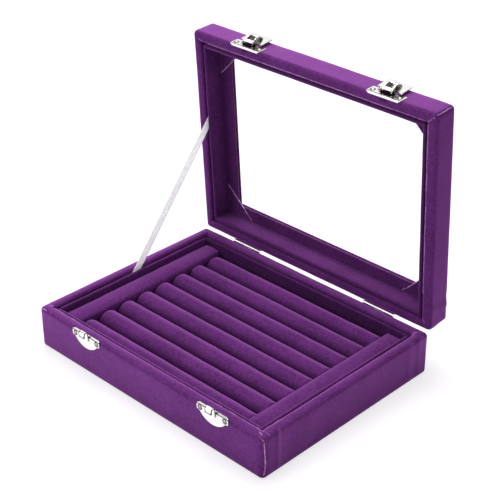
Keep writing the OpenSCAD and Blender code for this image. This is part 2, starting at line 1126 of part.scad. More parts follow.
// Ends of the free ribbon in the Y-Z plane with the lid open.
ribbon_a = [ribbon_base_y, base_h - liner_drop];
lid_dy = ribbon_lid_y - hinge_y;
lid_dz = lid_z + lid_liner_drop - hinge_z;
ribbon_b = [
    hinge_y + lid_dy * cos(lid_open) + lid_dz * sin(lid_open),
    hinge_z - lid_dy * sin(lid_open) + lid_dz * cos(lid_open)
];
ribbon_slope = atan2(ribbon_b[1] - ribbon_a[1], ribbon_b[0] - ribbon_a[0]);
ribbon_len = norm(ribbon_b - ribbon_a) + 2 * ribbon_tail;

module stay_ribbon() {
    color(satin)
        translate([-bed_x - liner_t - 0.2 - ribbon_t, ribbon_a[0], ribbon_a[1]])
            rotate([ribbon_slope, 0, 0])
                translate([0, -ribbon_tail, -ribbon_w / 2])
                    cube([ribbon_t, ribbon_len, ribbon_w]);
}

base_cover();
foot_sheet();
bottom_board();
base_front_board();
base_back_board();
base_left_board();
base_right_board();
base_front_liner();
base_back_liner();
base_left_liner();
base_right_liner();
insert_board();
left_end_bar();
right_end_bar();
ring_roll_1();
ring_roll_2();
ring_roll_3();
ring_roll_4();
ring_roll_5();
ring_roll_6();
ring_roll_7();
ring_roll_8();
lid_cover();
lid_face_board();
window_lining();
corner_patches();
glass_pane();
lid_front_board();
lid_back_board();
lid_left_board();
lid_right_board();
lid_front_liner();
lid_back_liner();
lid_left_liner();
lid_right_liner();
left_hinge_base_leaf();
right_hinge_base_leaf();
left_hinge_lid_leaf();
right_hinge_lid_leaf();
hinge_pins();
hinge_base_nails();
hinge_lid_nails();
left_keeper();
right_keeper();
keeper_nails();
left_latch_plate();
right_latch_plate();
latch_nails();
left_lever();
right_lever();
lever_pins();
stay_ribbon();
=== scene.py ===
"""Velvet ring display box: looks for the base, the ring pad, the glazed lid, its latches and the ribbon stay.

Lengths are written in millimetres and turned into metres when a mesh is made.
X runs along the box, Y to the hinge side and Z up. Lid pieces are drawn shut and then swung open.
"""

import enum
import logging
import math
from dataclasses import dataclass, field, replace

import bmesh
import bpy
import numpy as np
from mathutils import Matrix, Vector, noise

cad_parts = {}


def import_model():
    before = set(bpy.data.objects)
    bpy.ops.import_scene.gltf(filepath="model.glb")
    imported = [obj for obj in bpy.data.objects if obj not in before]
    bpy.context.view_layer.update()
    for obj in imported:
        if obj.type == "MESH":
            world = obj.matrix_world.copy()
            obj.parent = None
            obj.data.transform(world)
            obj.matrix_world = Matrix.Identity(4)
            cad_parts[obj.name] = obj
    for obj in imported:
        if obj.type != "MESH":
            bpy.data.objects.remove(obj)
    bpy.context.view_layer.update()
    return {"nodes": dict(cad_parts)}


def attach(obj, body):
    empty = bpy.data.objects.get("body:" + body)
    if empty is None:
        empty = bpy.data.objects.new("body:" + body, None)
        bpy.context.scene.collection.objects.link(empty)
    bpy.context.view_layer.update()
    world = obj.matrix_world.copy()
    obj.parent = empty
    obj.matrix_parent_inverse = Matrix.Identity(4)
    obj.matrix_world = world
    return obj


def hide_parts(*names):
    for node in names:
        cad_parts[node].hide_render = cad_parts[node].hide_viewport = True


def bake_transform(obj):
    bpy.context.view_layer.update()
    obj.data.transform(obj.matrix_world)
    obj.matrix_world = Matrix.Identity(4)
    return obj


MM = 0.001
LOG = logging.getLogger("ring_box")

Colour = tuple[float, float, float]
Flat = tuple[float, float]
Face = tuple[int, ...]

# The move of what is drawn where it goes.
IN_PLACE = Matrix.Identity(4)


class Body(enum.Enum):
    """Rigid bodies that pieces ride on."""

    BASE = "base"
    LID = "lid"
    LEFT_LATCH = "left_latch"
    RIGHT_LATCH = "right_latch"


class Side(enum.Enum):
    """Sides of a tray, by the direction that each one faces."""

    FRONT = (0, -1)
    RIGHT = (1, 0)
    BACK = (0, 1)
    LEFT = (-1, 0)


@dataclass(frozen=True)
class BoxSizes:
    """Sizes of the box in millimetres, the same as those of the frame."""

    width: float = 200.0
    depth: float = 150.0
    base_height: float = 29.0
    lid_height: float = 18.0
    wall: float = 6.8
    velvet: float = 0.9
    corner_radius: float = 3.0
    rim_radius: float = 2.3
    lip_radius: float = 1.8
    foot_radius: float = 1.2
    foot_sheet: float = 0.5
    rim_gap: float = 0.3
    lid_open_degrees: float = 86.7
    turn_in: float = 9.0
    turn_under: float = 14.0
    groove: float = 1.5
    front_groove: float = 0.3
    liner: float = 2.2
    liner_drop: float = 1.6
    lid_liner_drop: float = 0.5
    floor_top: float = 3.9
    roll_drop: float = 7.1
    bar_drop: float = 5.3
    bar_width: float = 14.3
    window_width: float = 160.0
    window_depth: float = 113.0
    face: float = 4.0
    lining: float = 1.0
    glass: float = 1.5
    bedding: float = 0.15
    hinge_out: float = 0.15
    latch_x: tuple[float, float] = (-52.5, 60.5)
    window_z: float = 33.0

    @property
    def inner_x(self) -> float:
        """Half width between the finished walls."""
        return self.width / 2 - self.wall

    @property
    def inner_y(self) -> float:
        """Half depth between the finished walls."""
        return self.depth / 2 - self.wall

    @property
    def bed_x(self) -> float:
        """Half width between the linings."""
        return self.inner_x - self.groove - self.liner

    @property
    def bed_y(self) -> float:
        """Half depth between the linings."""
        return self.inner_y - self.groove - self.liner

    @property
    def skin(self) -> float:
        """How deep under its nap the velvet's glued side lies."""
        return self.velvet - 0.05

    @property
    def lid_rim(self) -> float:
        """Height of the lid's rim when the box is shut."""
        return self.base_height + self.rim_gap

    def lid_opening(self) -> Matrix:
        """Turns points drawn on the shut lid to where the open lid has them.

        Returns:
            The turn about the hinge line, in millimetres.
        """
        line = Vector((0, self.depth / 2 + self.hinge_out, self.base_height + self.rim_gap / 2))
        turn = Matrix.Rotation(-math.radians(self.lid_open_degrees), 4, "X")
        return Matrix.Translation(line) @ turn @ Matrix.Translation(-line)

    def lid_from_face_down(self) -> Matrix:
        """Turns a tray drawn face down on z = 0 into the shut lid.

        Returns:
            The move, which mirrors the tray top to bottom.
        """
        flip = Matrix.Diagonal((1, 1, -1, 1))
        return Matrix.Translation((0, 0, self.lid_rim + self.lid_height)) @ flip


# ---- Materials ----


class NodeDesk:
    """Short hand for wiring a node tree."""

    def __init__(self, tree: bpy.types.NodeTree) -> None:
        """Keeps the tree that the nodes go in."""
        self.tree = tree

    def add(self, kind: str, **values: object) -> bpy.types.Node:
        """Adds a node.

        Args:
            kind: the node's type.
            values: attributes of the node, or input values by socket name.

        Returns:
            The node.
        """
        made = self.tree.nodes.new(kind)
        for key, value in values.items():
            if hasattr(made, key) and key not in made.inputs:
                setattr(made, key, value)
            else:
                made.inputs[key.replace("_", " ")].default_value = value
        return made

    def join(self, source: bpy.types.NodeSocket, target: bpy.types.NodeSocket) -> None:
        """Links one socket to another."""
        self.tree.links.new(source, target)

    def place(self) -> bpy.types.NodeSocket:
        """Gives the place on the piece, in metres."""
        return self.add("ShaderNodeTexCoord").outputs["Object"]

    def axes(self, vector: bpy.types.NodeSocket) -> dict[str, bpy.types.NodeSocket]:
        """Splits a vector.

        Args:
            vector: the vector's socket.

        Returns:
            Its X, Y and Z sockets by letter.
        """
        made = self.add("ShaderNodeSeparateXYZ")
        self.join(vector, made.inputs[0])
        return {axis: made.outputs[axis] for axis in "XYZ"}

    def noise(self, vector: bpy.types.NodeSocket, scale: float, detail: float = 2.0) -> bpy.types.NodeSocket:
        """Adds a noise texture.

        Args:
            vector: where it is read.
            scale: its scale per metre.
            detail: its octaves.

        Returns:
            The factor socket.
        """
        made = self.add("ShaderNodeTexNoise", Scale=scale, Detail=detail)
        self.join(vector, made.inputs["Vector"])
        return made.outputs["Fac"]

    def spread(
        self, value: bpy.types.NodeSocket, low: float, high: float, to_low: float, to_high: float
    ) -> bpy.types.NodeSocket:
        """Maps a value from one range to another, clamped.

        Args:
            value: what is mapped.
            low: start of the range read.
            high: end of the range read.
            to_low: result at the start.
            to_high: result at the end.

        Returns:
            The result socket.
        """
        made = self.add("ShaderNodeMapRange", From_Min=low, From_Max=high, To_Min=to_low, To_Max=to_high)
        self.join(value, made.inputs["Value"])
        return made.outputs["Result"]

    def blend(
        self, factor: bpy.types.NodeSocket, low: object, high: object, mode: str = "MIX"
    ) -> bpy.types.NodeSocket:
        """Mixes two colours.

        Args:
            factor: the share of the second.
            low: a colour or a colour socket.
            high: a colour or a colour socket.
            mode: how they are mixed.

        Returns:
            The mixed colour socket.
        """
        made = self.add("ShaderNodeMix", data_type="RGBA", blend_type=mode)
        self.join(factor, made.inputs[0])
        for socket, colour in ((made.inputs[6], low), (made.inputs[7], high)):
            if isinstance(colour, bpy.types.NodeSocket):
                self.join(colour, socket)
            else:
                socket.default_value = (*colour, 1.0)
        return made.outputs[2]

    def sums(self, operation: str, first: object, second: object = 0.0) -> bpy.types.NodeSocket:
        """Does one sum on two values or sockets.

        Args:
            operation: the sum's name.
            first: a number or a socket.
            second: a number or a socket, where the sum has one.

        Returns:
            The result socket.
        """
        made = self.add("ShaderNodeMath", operation=operation)
        for socket, value in ((made.inputs[0], first), (made.inputs[1], second)):
            if isinstance(value, bpy.types.NodeSocket):
                self.join(value, socket)
            else:
                socket.default_value = value
        return made.outputs[0]

    def swing(self, value: bpy.types.NodeSocket, weight: float) -> bpy.types.NodeSocket:
        """Centres a noise on zero and weighs it.

        Args:
            value: the noise, about one half.
            weight: how much it counts.

        Returns:
            The result socket.
        """
        return self.sums("MULTIPLY", self.sums("SUBTRACT", value, 0.5), weight)

    def mix_shaders(self, share: bpy.types.NodeSocket, *shaders: bpy.types.Node) -> bpy.types.NodeSocket:
        """Mixes two shaders.

        Args:
            share: the share of the second.
            shaders: both shaders.

        Returns:
            The mixed shader socket.
        """
        made = self.add("ShaderNodeMixShader")
        self.join(share, made.inputs[0])
        for shader, target in zip(shaders, (made.inputs[1], made.inputs[2])):
            self.join(shader.outputs[0], target)
        return made.outputs[0]

    def emboss(
        self, shader: bpy.types.Node, height: bpy.types.NodeSocket, strength: float, depth: float
    ) -> None:
        """Raises a shader's surface.

        Args:
            shader: the shader.
            height: how high each place stands.
            strength: how strongly it shows.
            depth: height of the relief in metres.
        """
        bump = self.add("ShaderNodeBump", Strength=strength, Distance=depth)
        self.join(height, bump.inputs["Height"])
        self.join(bump.outputs["Normal"], shader.inputs["Normal"])


def set_inputs(shader: bpy.types.Node, **values: object) -> None:
    """Sets values that are the same all over a surface on the shader's own sockets.

    Args:
        shader: the shader.
        values: the values by socket name, with _ for a space.
    """
    for key, value in values.items():
        shader.inputs[key.replace("_", " ")].default_value = value


def pile_nap_group() -> bpy.types.NodeTree:
    """Builds the shared effect of a short pile: brushed patches, tufts and lint.

    Returns:
        The shader node group.
    """
    found = bpy.data.node_groups.get("pile_nap")
    if found:
        return found
    tuft_scale, lint_scale = 1500.0, 2600.0
    patch_swing, mottle_swing, tuft_swing = 0.9, 1.5, 1.2
    tree = bpy.data.node_groups.new("pile_nap", "ShaderNodeTree")
    for name, start in (("Patch Scale", 40.0), ("Mottle Scale", 620.0), ("Contrast", 0.3)):
        tree.interface.new_socket(name, in_out="INPUT", socket_type="NodeSocketFloat").default_value = start
    for name in ("Shade", "Height", "Lint"):
        tree.interface.new_socket(name, in_out="OUTPUT", socket_type="NodeSocketFloat")
    desk = NodeDesk(tree)
    given = desk.add("NodeGroupInput").outputs
    results = desk.add("NodeGroupOutput").inputs
    place = desk.place()
    patches = desk.add("ShaderNodeTexNoise", Detail=4.0, Distortion=0.8)
    mottle = desk.add("ShaderNodeTexNoise", Detail=3.0, Distortion=0.5)
    for texture, scale in ((patches, "Patch Scale"), (mottle, "Mottle Scale")):
        desk.join(place, texture.inputs["Vector"])
        desk.join(given[scale], texture.inputs["Scale"])
    tufts = desk.noise(place, tuft_scale, 3.0)
    lint = desk.noise(place, lint_scale, 1.0)
    brushed = desk.swing(patches.outputs["Fac"], patch_swing)
    mottled = desk.swing(mottle.outputs["Fac"], mottle_swing)
    total = desk.sums("ADD", desk.sums("ADD", brushed, mottled), desk.swing(tufts, tuft_swing))
    shade = desk.sums("ADD", desk.sums("MULTIPLY", total, given["Contrast"]), 0.5)
    desk.join(shade, results["Shade"])
    rough = desk.sums("ADD", tufts, desk.sums("MULTIPLY", lint, 0.4))
    height = desk.sums("ADD", rough, desk.sums("MULTIPLY", mottle.outputs["Fac"], 0.8))
    desk.join(height, results["Height"])
    desk.join(desk.spread(lint, 0.72, 0.8, 0.0, 1.0), results["Lint"])
    return tree


def painted_light_mark_group() -> bpy.types.NodeTree:
    """Builds the shared mask of a mark of painted light or shade: a ring round a point, a spot, or a band
    along an axis.

    Returns:
        The shader node group; its Mask is 1 where the mark is strongest.
    """
    found = bpy.data.node_groups.get("painted_light_mask")
    if found:
        return found
    ragged_scale = 1800.0
    tree = bpy.data.node_groups.new("painted_light_mask", "ShaderNodeTree")
    for name in ("Centre X", "Centre Y", "Centre Z", "Share X", "Share Y", "Share Z", "Radius", "Width"):
        tree.interface.new_socket(name, in_out="INPUT", socket_type="NodeSocketFloat")
    tree.interface.new_socket("Mask", in_out="OUTPUT", socket_type="NodeSocketFloat")
    desk = NodeDesk(tree)
    given = desk.add("NodeGroupInput").outputs
    place = desk.place()
    squares = []
    for axis, value in desk.axes(place).items():
        away = desk.sums("SUBTRACT", value, given["Centre " + axis])
        away = desk.sums("MULTIPLY", away, given["Share " + axis])
        squares.append(desk.sums("MULTIPLY", away, away))
    distance = desk.sums("SQRT", desk.sums("ADD", desk.sums("ADD", squares[0], squares[1]), squares[2]))
    off = desk.sums("ABSOLUTE", desk.sums("SUBTRACT", distance, given["Radius"]))
    share = desk.sums("DIVIDE", off, given["Width"])
    ragged = desk.sums("ADD", share, desk.spread(desk.noise(place, ragged_scale), 0.3, 0.7, -0.25, 0.25))
    mask = desk.spread(ragged, 0.55, 1.1, 1.0, 0.0)
    desk.join(mask, desk.add("NodeGroupOutput").inputs["Mask"])
    return tree


@dataclass(frozen=True)
class PaintedLightMark:
    """One mark of painted light on metal or on pile, in millimetres: painted shade, a painted highlight or a
    painted dark reflection.

    The shares say how much of the distance along X, Y and Z counts: an axis with a share of 0 is the
    way that a band runs. A mark with a radius is a ring.
    """

    centre: tuple[float, float, float]
    radius: float
    width: float
    shares: tuple[float, float, float] = (1.0, 1.0, 1.0)
    strength: float = 1.0

    def mask(self, desk: NodeDesk) -> bpy.types.NodeSocket:
        """Puts the mark in a material.

        Args:
            desk: the material's tree.

        Returns:
            A socket that is 1 where the mark is strongest.
        """
        made = desk.add("ShaderNodeGroup", node_tree=painted_light_mark_group())
        for axis, middle, share in zip("XYZ", self.centre, self.shares):
            made.inputs["Centre " + axis].default_value = middle * MM
            made.inputs["Share " + axis].default_value = share
        set_inputs(made, Radius=self.radius * MM, Width=self.width * MM)
        return desk.sums("MULTIPLY", made.outputs["Mask"], self.strength)


ALONG_X = (0.0, 1.0, 1.0)
UPRIGHT = (1.0, 1.0, 0.0)


@dataclass(frozen=True)
class Finish:
    """A finish with its own material."""

    name: str

    def material(self) -> bpy.types.Material:
        """Gives the material, built the first time that it is asked for.

        Returns:
            The material.
        """
        found = bpy.data.materials.get(self.name)
        if found:
            return found
        made = bpy.data.materials.new(self.name)
        made.use_nodes = True
        self.wire(NodeDesk(made.node_tree), made.node_tree.nodes["Principled BSDF"])
        return made

    def wire(self, desk: NodeDesk, shader: bpy.types.Node) -> None:
        """Wires the material; each finish has its own way."""
        raise NotImplementedError

    def dress(self, *pieces: bpy.types.Object) -> None:
        """Puts the material on pieces, in every slot that they have."""
        for piece in pieces:
            if not piece.data.materials:
                piece.data.materials.append(self.material())
            for slot in range(len(piece.data.materials)):
                piece.data.materials[slot] = self.material()


@dataclass(frozen=True)
class VelvetFinish(Finish):
    """Short dense pile, deep square on, with a painted sheen that makes it paler where it is seen edge-on.

    It gets painted shade below the height `high`, most at `low`; both are in millimetres. The shares of the
    deep colour say how far the painted shade goes there and in its shade marks.
    """

    deep: Colour = (0.052, 0.0098, 0.070)
    bright: Colour = (0.186, 0.0430, 0.239)
    # Colour of the painted sheen at grazing angles and of the painted highlights.
    glow: Colour = (0.410, 0.130, 0.500)
    lint: Colour = (0.50, 0.30, 0.56)
    contrast: float = 0.66
    patch_scale: float = 38.0
    painted_sheen_share: float = 0.80
    lint_share: float = 0.25
    sheen: float = 0.12
    relief: float = 0.0004
    # Painted shade below the height `high`, darkest at `low`, and how much of the deep colour it takes.
    low: float = 0.0
    high: float = 0.0
    shade: float = 1.0
    low_shade_share: float = 0.5
    # Marks of painted shade and of painted highlight, and how much of the deep colour the painted shade
    # takes.
    shade_mark_share: float = 0.12
    painted_shade_marks: tuple[PaintedLightMark, ...] = ()
    painted_highlight_marks: tuple[PaintedLightMark, ...] = ()

    def wire(self, desk: NodeDesk, shader: bpy.types.Node) -> None:
        """Wires patches of nap, tufts, a painted sheen that pales the colour at grazing angles, painted
        marks, painted shade low down and the shader's own sheen.

        Args:
            desk: the material's tree.
            shader: its Principled BSDF.
        """
        nap = desk.add("ShaderNodeGroup", node_tree=pile_nap_group())
        set_inputs(nap, Patch_Scale=self.patch_scale, Contrast=self.contrast)
        ground = desk.blend(nap.outputs["Shade"], self.deep, self.bright)
        # Painted sheen: the colour turns towards the glow colour where the pile is seen at a grazing angle.
        facing = desk.add("ShaderNodeLayerWeight", Blend=0.35).outputs["Facing"]
        painted_sheen_colour = desk.blend(desk.spread(facing, 0.30, 0.62, 0.0, self.painted_sheen_share), ground, self.glow)
        linty = desk.blend(desk.sums("MULTIPLY", nap.outputs["Lint"], self.lint_share), painted_sheen_colour, self.lint)
        desk.join(self.painted_low_shade(desk, self.add_painted_marks(desk, linty)), shader.inputs["Base Color"])
        set_inputs(
            shader, Roughness=0.95, Specular_IOR_Level=0.05, Sheen_Weight=self.sheen, Sheen_Roughness=0.45,
            Sheen_Tint=(0.80, 0.35, 0.95, 1.0),
        )
        desk.emboss(shader, nap.outputs["Height"], 0.45, self.relief)

    def add_painted_marks(self, desk: NodeDesk, colour: bpy.types.NodeSocket) -> bpy.types.NodeSocket:
        """Adds the painted highlights along soft folds and rims, and the painted shade in folds and under
        plates.

        Args:
            desk: the material's tree.
            colour: the colour before.

        Returns:
            The colour with the marks.
        """
        # The painted shade's colour; painted highlights take the glow colour.
        black = tuple(self.shade_mark_share * value for value in self.deep)
        for ridge in self.painted_highlight_marks:
            colour = desk.blend(ridge.mask(desk), colour, self.glow)
        for hollow in self.painted_shade_marks:
            colour = desk.blend(hollow.mask(desk), colour, black)
        return colour

    def painted_low_shade(self, desk: NodeDesk, colour: bpy.types.NodeSocket) -> bpy.types.NodeSocket:
        """Paints shade low down.

        Args:
            desk: the material's tree.
            colour: the colour before.

        Returns:
            The colour, darker below `high` and darkest at `low`.
        """
        if self.high <= self.low:
            return colour
        height = desk.axes(desk.place())["Z"]
        depth = desk.spread(height, self.low * MM, self.high * MM, self.shade, 0.0)
        return desk.blend(depth, colour, tuple(self.low_shade_share * value for value in self.deep))


@dataclass(frozen=True)
class FrayFinish(Finish):
    """Pale backing threads at a cut edge of velvet."""

    pale: Colour = (0.60, 0.34, 0.66)
    stained: Colour = (0.30, 0.10, 0.37)
    stain_scale: float = 420.0
    thread_scale: float = 3000.0

    def wire(self, desk: NodeDesk, shader: bpy.types.Node) -> None:
        """Wires threads that are stained by the pile in places.

        Args:
            desk: the material's tree.
            shader: its Principled BSDF.
        """
        place = desk.place()
        stain = desk.spread(desk.noise(place, self.stain_scale, 3.0), 0.48, 0.68, 0.0, 1.0)
        desk.join(desk.blend(stain, self.pale, self.stained), shader.inputs["Base Color"])
        set_inputs(shader, Roughness=0.9)
        desk.emboss(shader, desk.noise(place, self.thread_scale), 0.4, 0.0002)


@dataclass(frozen=True)
class NickelFinish(Finish):
    """Bright nickel plate with faint wipe marks, duller spots, and painted shade and dark reflections in its
    creases, round its nails and on its sides.
    """

    colour: Colour = (0.90, 0.89, 0.87)
    dull: Colour = (0.60, 0.58, 0.55)
    # Colour of the painted shade and painted dark reflections.
    dark: Colour = (0.030, 0.024, 0.022)
    # Marks of painted shade and painted dark reflection.
    creases: tuple[PaintedLightMark, ...] = ()
    # How dark the painted reflection gets on sides that face along X.
    side: float = 0.0
    spot_scale: float = 260.0
    reflection_patch_scale: float = 420.0
    wipe_scale: tuple[float, float, float] = (4000.0, 500.0, 500.0)

    def wire(self, desk: NodeDesk, shader: bpy.types.Node) -> None:
        """Wires the plate, its duller spots, its wipe marks, and its painted shade and dark reflections.

        Args:
            desk: the material's tree.
            shader: its Principled BSDF.
        """
        place = desk.place()
        spots = desk.noise(place, self.spot_scale, 4.0)
        clean = desk.blend(desk.spread(spots, 0.45, 0.75, 0.0, 0.35), self.colour, self.dull)
        mask = self.painted_light_mask(desk, place)
        desk.join(desk.blend(mask, clean, self.dark), shader.inputs["Base Color"])
        set_inputs(shader, Metallic=1.0)
        gloss = desk.spread(spots, 0.3, 0.75, 0.07, 0.22)
        desk.join(desk.sums("ADD", gloss, desk.sums("MULTIPLY", mask, 0.35)), shader.inputs["Roughness"])
        streak = desk.add("ShaderNodeMapping", Scale=self.wipe_scale)
        desk.join(place, streak.inputs["Vector"])
        desk.emboss(shader, desk.noise(streak.outputs["Vector"], 1.0, 2.0), 0.06, 0.0001)

    def painted_light_mask(self, desk: NodeDesk, place: bpy.types.NodeSocket) -> bpy.types.NodeSocket:
        """Adds up the painted shade and dark reflections of the marks, and the painted dark reflections on
        sides that face along X, in patches.

        Args:
            desk: the material's tree.
            place: the place on the piece.

        Returns:
            The mask socket.
        """
        # Painted dark reflection on sides that face along X, broken into patches.
        sideways = desk.axes(desk.add("ShaderNodeTexCoord").outputs["Normal"])["X"]
        upright = desk.spread(desk.sums("ABSOLUTE", sideways), 0.55, 0.9, 0.0, self.side)
        reflection_patches = desk.spread(desk.noise(place, self.reflection_patch_scale, 3.0), 0.40, 0.60, 0.55, 1.0)
        mask = desk.sums("MULTIPLY", upright, reflection_patches)
        for crease in self.creases:
            mask = desk.sums("MAXIMUM", mask, crease.mask(desk))
        return mask


@dataclass(frozen=True)
class SatinFinish(Finish):
    """White woven satin ribbon; its UV runs across and along it."""

    white: Colour = (0.985, 0.98, 0.99)
    shadow: Colour = (0.90, 0.89, 0.92)
    warp_scale: float = 9.0
    weft_scale: float = 70.0

    def wire(self, desk: NodeDesk, shader: bpy.types.Node) -> None:
        """Wires fine threads along the ribbon and cross ribs at its edges.

        Args:
            desk: the material's tree.
            shader: its Principled BSDF.
        """
        uv = desk.add("ShaderNodeUVMap", uv_map="UVMap").outputs["UV"]
        warp = desk.add("ShaderNodeTexWave", bands_direction="X", Scale=self.warp_scale)
        weft = desk.add("ShaderNodeTexWave", bands_direction="Y", Scale=self.weft_scale)
        for wave in (warp, weft):
            desk.join(uv, wave.inputs["Vector"])
        threads = desk.sums("ADD", warp.outputs["Fac"], desk.sums("MULTIPLY", weft.outputs["Fac"], 0.6))
        tint = desk.spread(threads, 0.0, 1.6, 0.0, 1.0)
        desk.join(desk.blend(tint, self.shadow, self.white), shader.inputs["Base Color"])
        set_inputs(
            shader, Roughness=0.38, Sheen_Weight=0.3, Subsurface_Weight=1.0, Subsurface_Scale=0.0015,
            Subsurface_Radius=(1.0, 1.0, 1.0),
        )
        desk.emboss(shader, threads, 0.3, 0.00005)


@dataclass(frozen=True)
class GlassFinish(Finish):
    """Clear float glass."""

    tint: Colour = (0.985, 0.995, 0.992)
    bend: float = 1.06
    dust_scale: float = 60.0

    def wire(self, desk: NodeDesk, shader: bpy.types.Node) -> None:
        """Wires clear glass with a trace of dust.

        Args:
            desk: the material's tree.
            shader: its Principled BSDF.
        """
        set_inputs(shader, Base_Color=(*self.tint, 1.0), Transmission_Weight=1.0, IOR=self.bend)
        dust = desk.spread(desk.noise(desk.place(), self.dust_scale, 3.0), 0.45, 0.8, 0.0, 0.03)
        desk.join(dust, shader.inputs["Roughness"])


@dataclass(frozen=True)
class BoardFinish(Finish):
    """Raw board or card: flecked fibres."""

    colour: Colour = (0.33, 0.20, 0.11)
    fleck: Colour = (0.18, 0.10, 0.05)
    fleck_scale: float = 900.0

    def wire(self, desk: NodeDesk, shader: bpy.types.Node) -> None:
        """Wires flecks and a fibrous relief.

        Args:
            desk: the material's tree.
            shader: its Principled BSDF.
        """
        flecks = desk.spread(desk.noise(desk.place(), self.fleck_scale, 5.0), 0.4, 0.7, 0.0, 1.0)
        desk.join(desk.blend(flecks, self.colour, self.fleck), shader.inputs["Base Color"])
        set_inputs(shader, Roughness=0.85)
        desk.emboss(shader, flecks, 0.3, 0.0002)


# Painted shade: the outer velvet gets darker towards the bottom of the base.
OUTER_VELVET = VelvetFinish("velvet_outer", low=1.0, high=21.0, shade=0.24)
# The lining velvet is a darker copy of the outer velvet: painted shade inside the trays and the lid.
LINING_VELVET = VelvetFinish(
    "velvet_lining", deep=(0.034, 0.0062, 0.046), bright=(0.136, 0.030, 0.172), glow=(0.220, 0.066, 0.275)
)
SHADED_VELVET = VelvetFinish(
    "velvet_back_lining",
    deep=(0.021, 0.0040, 0.029), bright=(0.085, 0.019, 0.110), glow=(0.150, 0.046, 0.190),
)
# Painted shade low down on the pads, in the slots between the rolls.
PAD_VELVET = VelvetFinish(
    "velvet_pads", deep=(0.042, 0.0078, 0.056), bright=(0.175, 0.039, 0.226), glow=(0.250, 0.072, 0.310),
    contrast=0.62, low=14.6, high=20.8, shade=0.97,
)
PATCH_VELVET = VelvetFinish(
    "velvet_patches", deep=(0.032, 0.006, 0.043), bright=(0.120, 0.027, 0.152), glow=(0.200, 0.060, 0.250)
)
FRAY = FrayFinish("frayed_edge")
NICKEL = NickelFinish("nickel_plate")
# Levers get painted dark reflections on their sides that face along X.
LEVER_NICKEL = NickelFinish("nickel_lever", side=1.0)
# Nail heads: steel, darker than the plate, and darkened further as painted dark reflection.
DARKENED_NAIL_STEEL = NickelFinish("darkened_nail_steel", colour=(0.36, 0.34, 0.31), dull=(0.10, 0.09, 0.085))
SATIN = SatinFinish("satin_ribbon")
GLASS = GlassFinish("window_glass")
FIBREBOARD = BoardFinish("raw_fibreboard")
GREY_CARD = BoardFinish("insert_card", colour=(0.36, 0.27, 0.18), fleck=(0.26, 0.18, 0.11))
FOOT_FELT = VelvetFinish("foot_felt", deep=(0.02, 0.005, 0.03), bright=(0.06, 0.015, 0.08), sheen=0.05)


# ---- Meshes ----


# How far the noise of one seed lies from the next one's, in millimetres.
VELVET_SHIFT = Vector((31.7, 12.9, 5.3))
RUFFLE_SHIFT = Vector((17.3, 41.9, 8.7))
SEAM_SHIFT = Vector((9.1, 3.3, 7.7))

# Radius of a loose thread at its foot, in millimetres.
THREAD_RADIUS = 0.055


def put_in_scene(name: str, data: bpy.types.ID) -> bpy.types.Object:
    """Makes an object and links it to the scene.

    Args:
        name: its name.
        data: its mesh, lamp or camera.

    Returns:
        The object.
    """
    made = bpy.data.objects.new(name, data)
    bpy.context.scene.collection.objects.link(made)
    return made


def ripple(x: float, y: float, z: float) -> float:
    """Reads smooth noise, from about -1 to 1, at a place."""
    return noise.noise(Vector((x, y, z)))


def piece_from(
    name: str, points: np.ndarray, faces: list[Face], move: Matrix = IN_PLACE
) -> bpy.types.Object:
    """Makes a piece whose place is in its mesh.

    Args:
        name: the piece's name.
        points: its points in millimetres.
        faces: indices of its faces.
        move: applied to the points, in millimetres.

    Returns:
        The piece, merged and with its faces outwards.
    """
    mesh = bpy.data.meshes.new(name)
    mesh.from_pydata([tuple(move @ Vector(p)) for p in points], [], faces)
    build = bmesh.new()
    build.from_mesh(mesh)
    bmesh.ops.remove_doubles(build, verts=build.verts, dist=1e-4)
    bmesh.ops.dissolve_degenerate(build, edges=build.edges, dist=1e-5)
    bmesh.ops.recalc_face_normals(build, faces=build.faces)
    bmesh.ops.scale(build, vec=(MM, MM, MM), verts=build.verts)
    for face in build.faces:
        face.smooth = True
    build.to_mesh(mesh)
    build.free()
    return put_in_scene(name, mesh)


def grid_faces(rows: int, columns: int, close_rows: bool, close_columns: bool) -> list[Face]:
    """Lists the faces of a grid of points.

    Args:
        rows: number of rows.
        columns: number of points in a row.
        close_rows: whether the last row meets the first.
        close_columns: whether the last column meets the first.

    Returns:
        Four indices for each face.
    """
    faces = []
    for row in range(rows if close_rows else rows - 1):
        following = (row + 1) % rows
        for column in range(columns if close_columns else columns - 1):
            beside = (column + 1) % columns
            faces.append((row * columns + column, row * columns + beside,
                          following * columns + beside, following * columns + column))
    return faces


def slab_faces(rows: int, columns: int, pointed: bool = False) -> list[Face]:
    """Lists the faces of a thin slab, whose lower grid of points comes before its upper one.

    Args:
        rows: number of rows in each grid.
        columns: number of points in a row.
        pointed: whether the last row is a single place, with no rim.

    Returns:
        The indices of each face.
    """
    size = rows * columns
    grid = grid_faces(rows, columns, False, False)
    faces = [tuple(reversed(f)) for f in grid] + [tuple(k + size for k in f) for f in grid]
    rims = [range(0, size, columns), range(columns - 1, size, columns), range(columns)]
    if not pointed:
        rims.append(range(size - columns, size))
    for rim in rims:
        faces += [(p, q, q + size, p + size) for p, q in zip(rim, rim[1:])]
    return faces


def arc(centre: Flat, radius: float, start: float, end: float, steps: int) -> list[Flat]:
    """Points of an arc.

    Args:
        centre: its centre.
        radius: its radius.
        start: first angle in degrees.
        end: last angle in degrees.
        steps: number of steps.

    Returns:
        The points, both ends among them.
    """
    turns = [math.radians(start + (end - start) * i / steps) for i in range(steps + 1)]
    return [(centre[0] + radius * math.cos(t), centre[1] + radius * math.sin(t)) for t in turns]


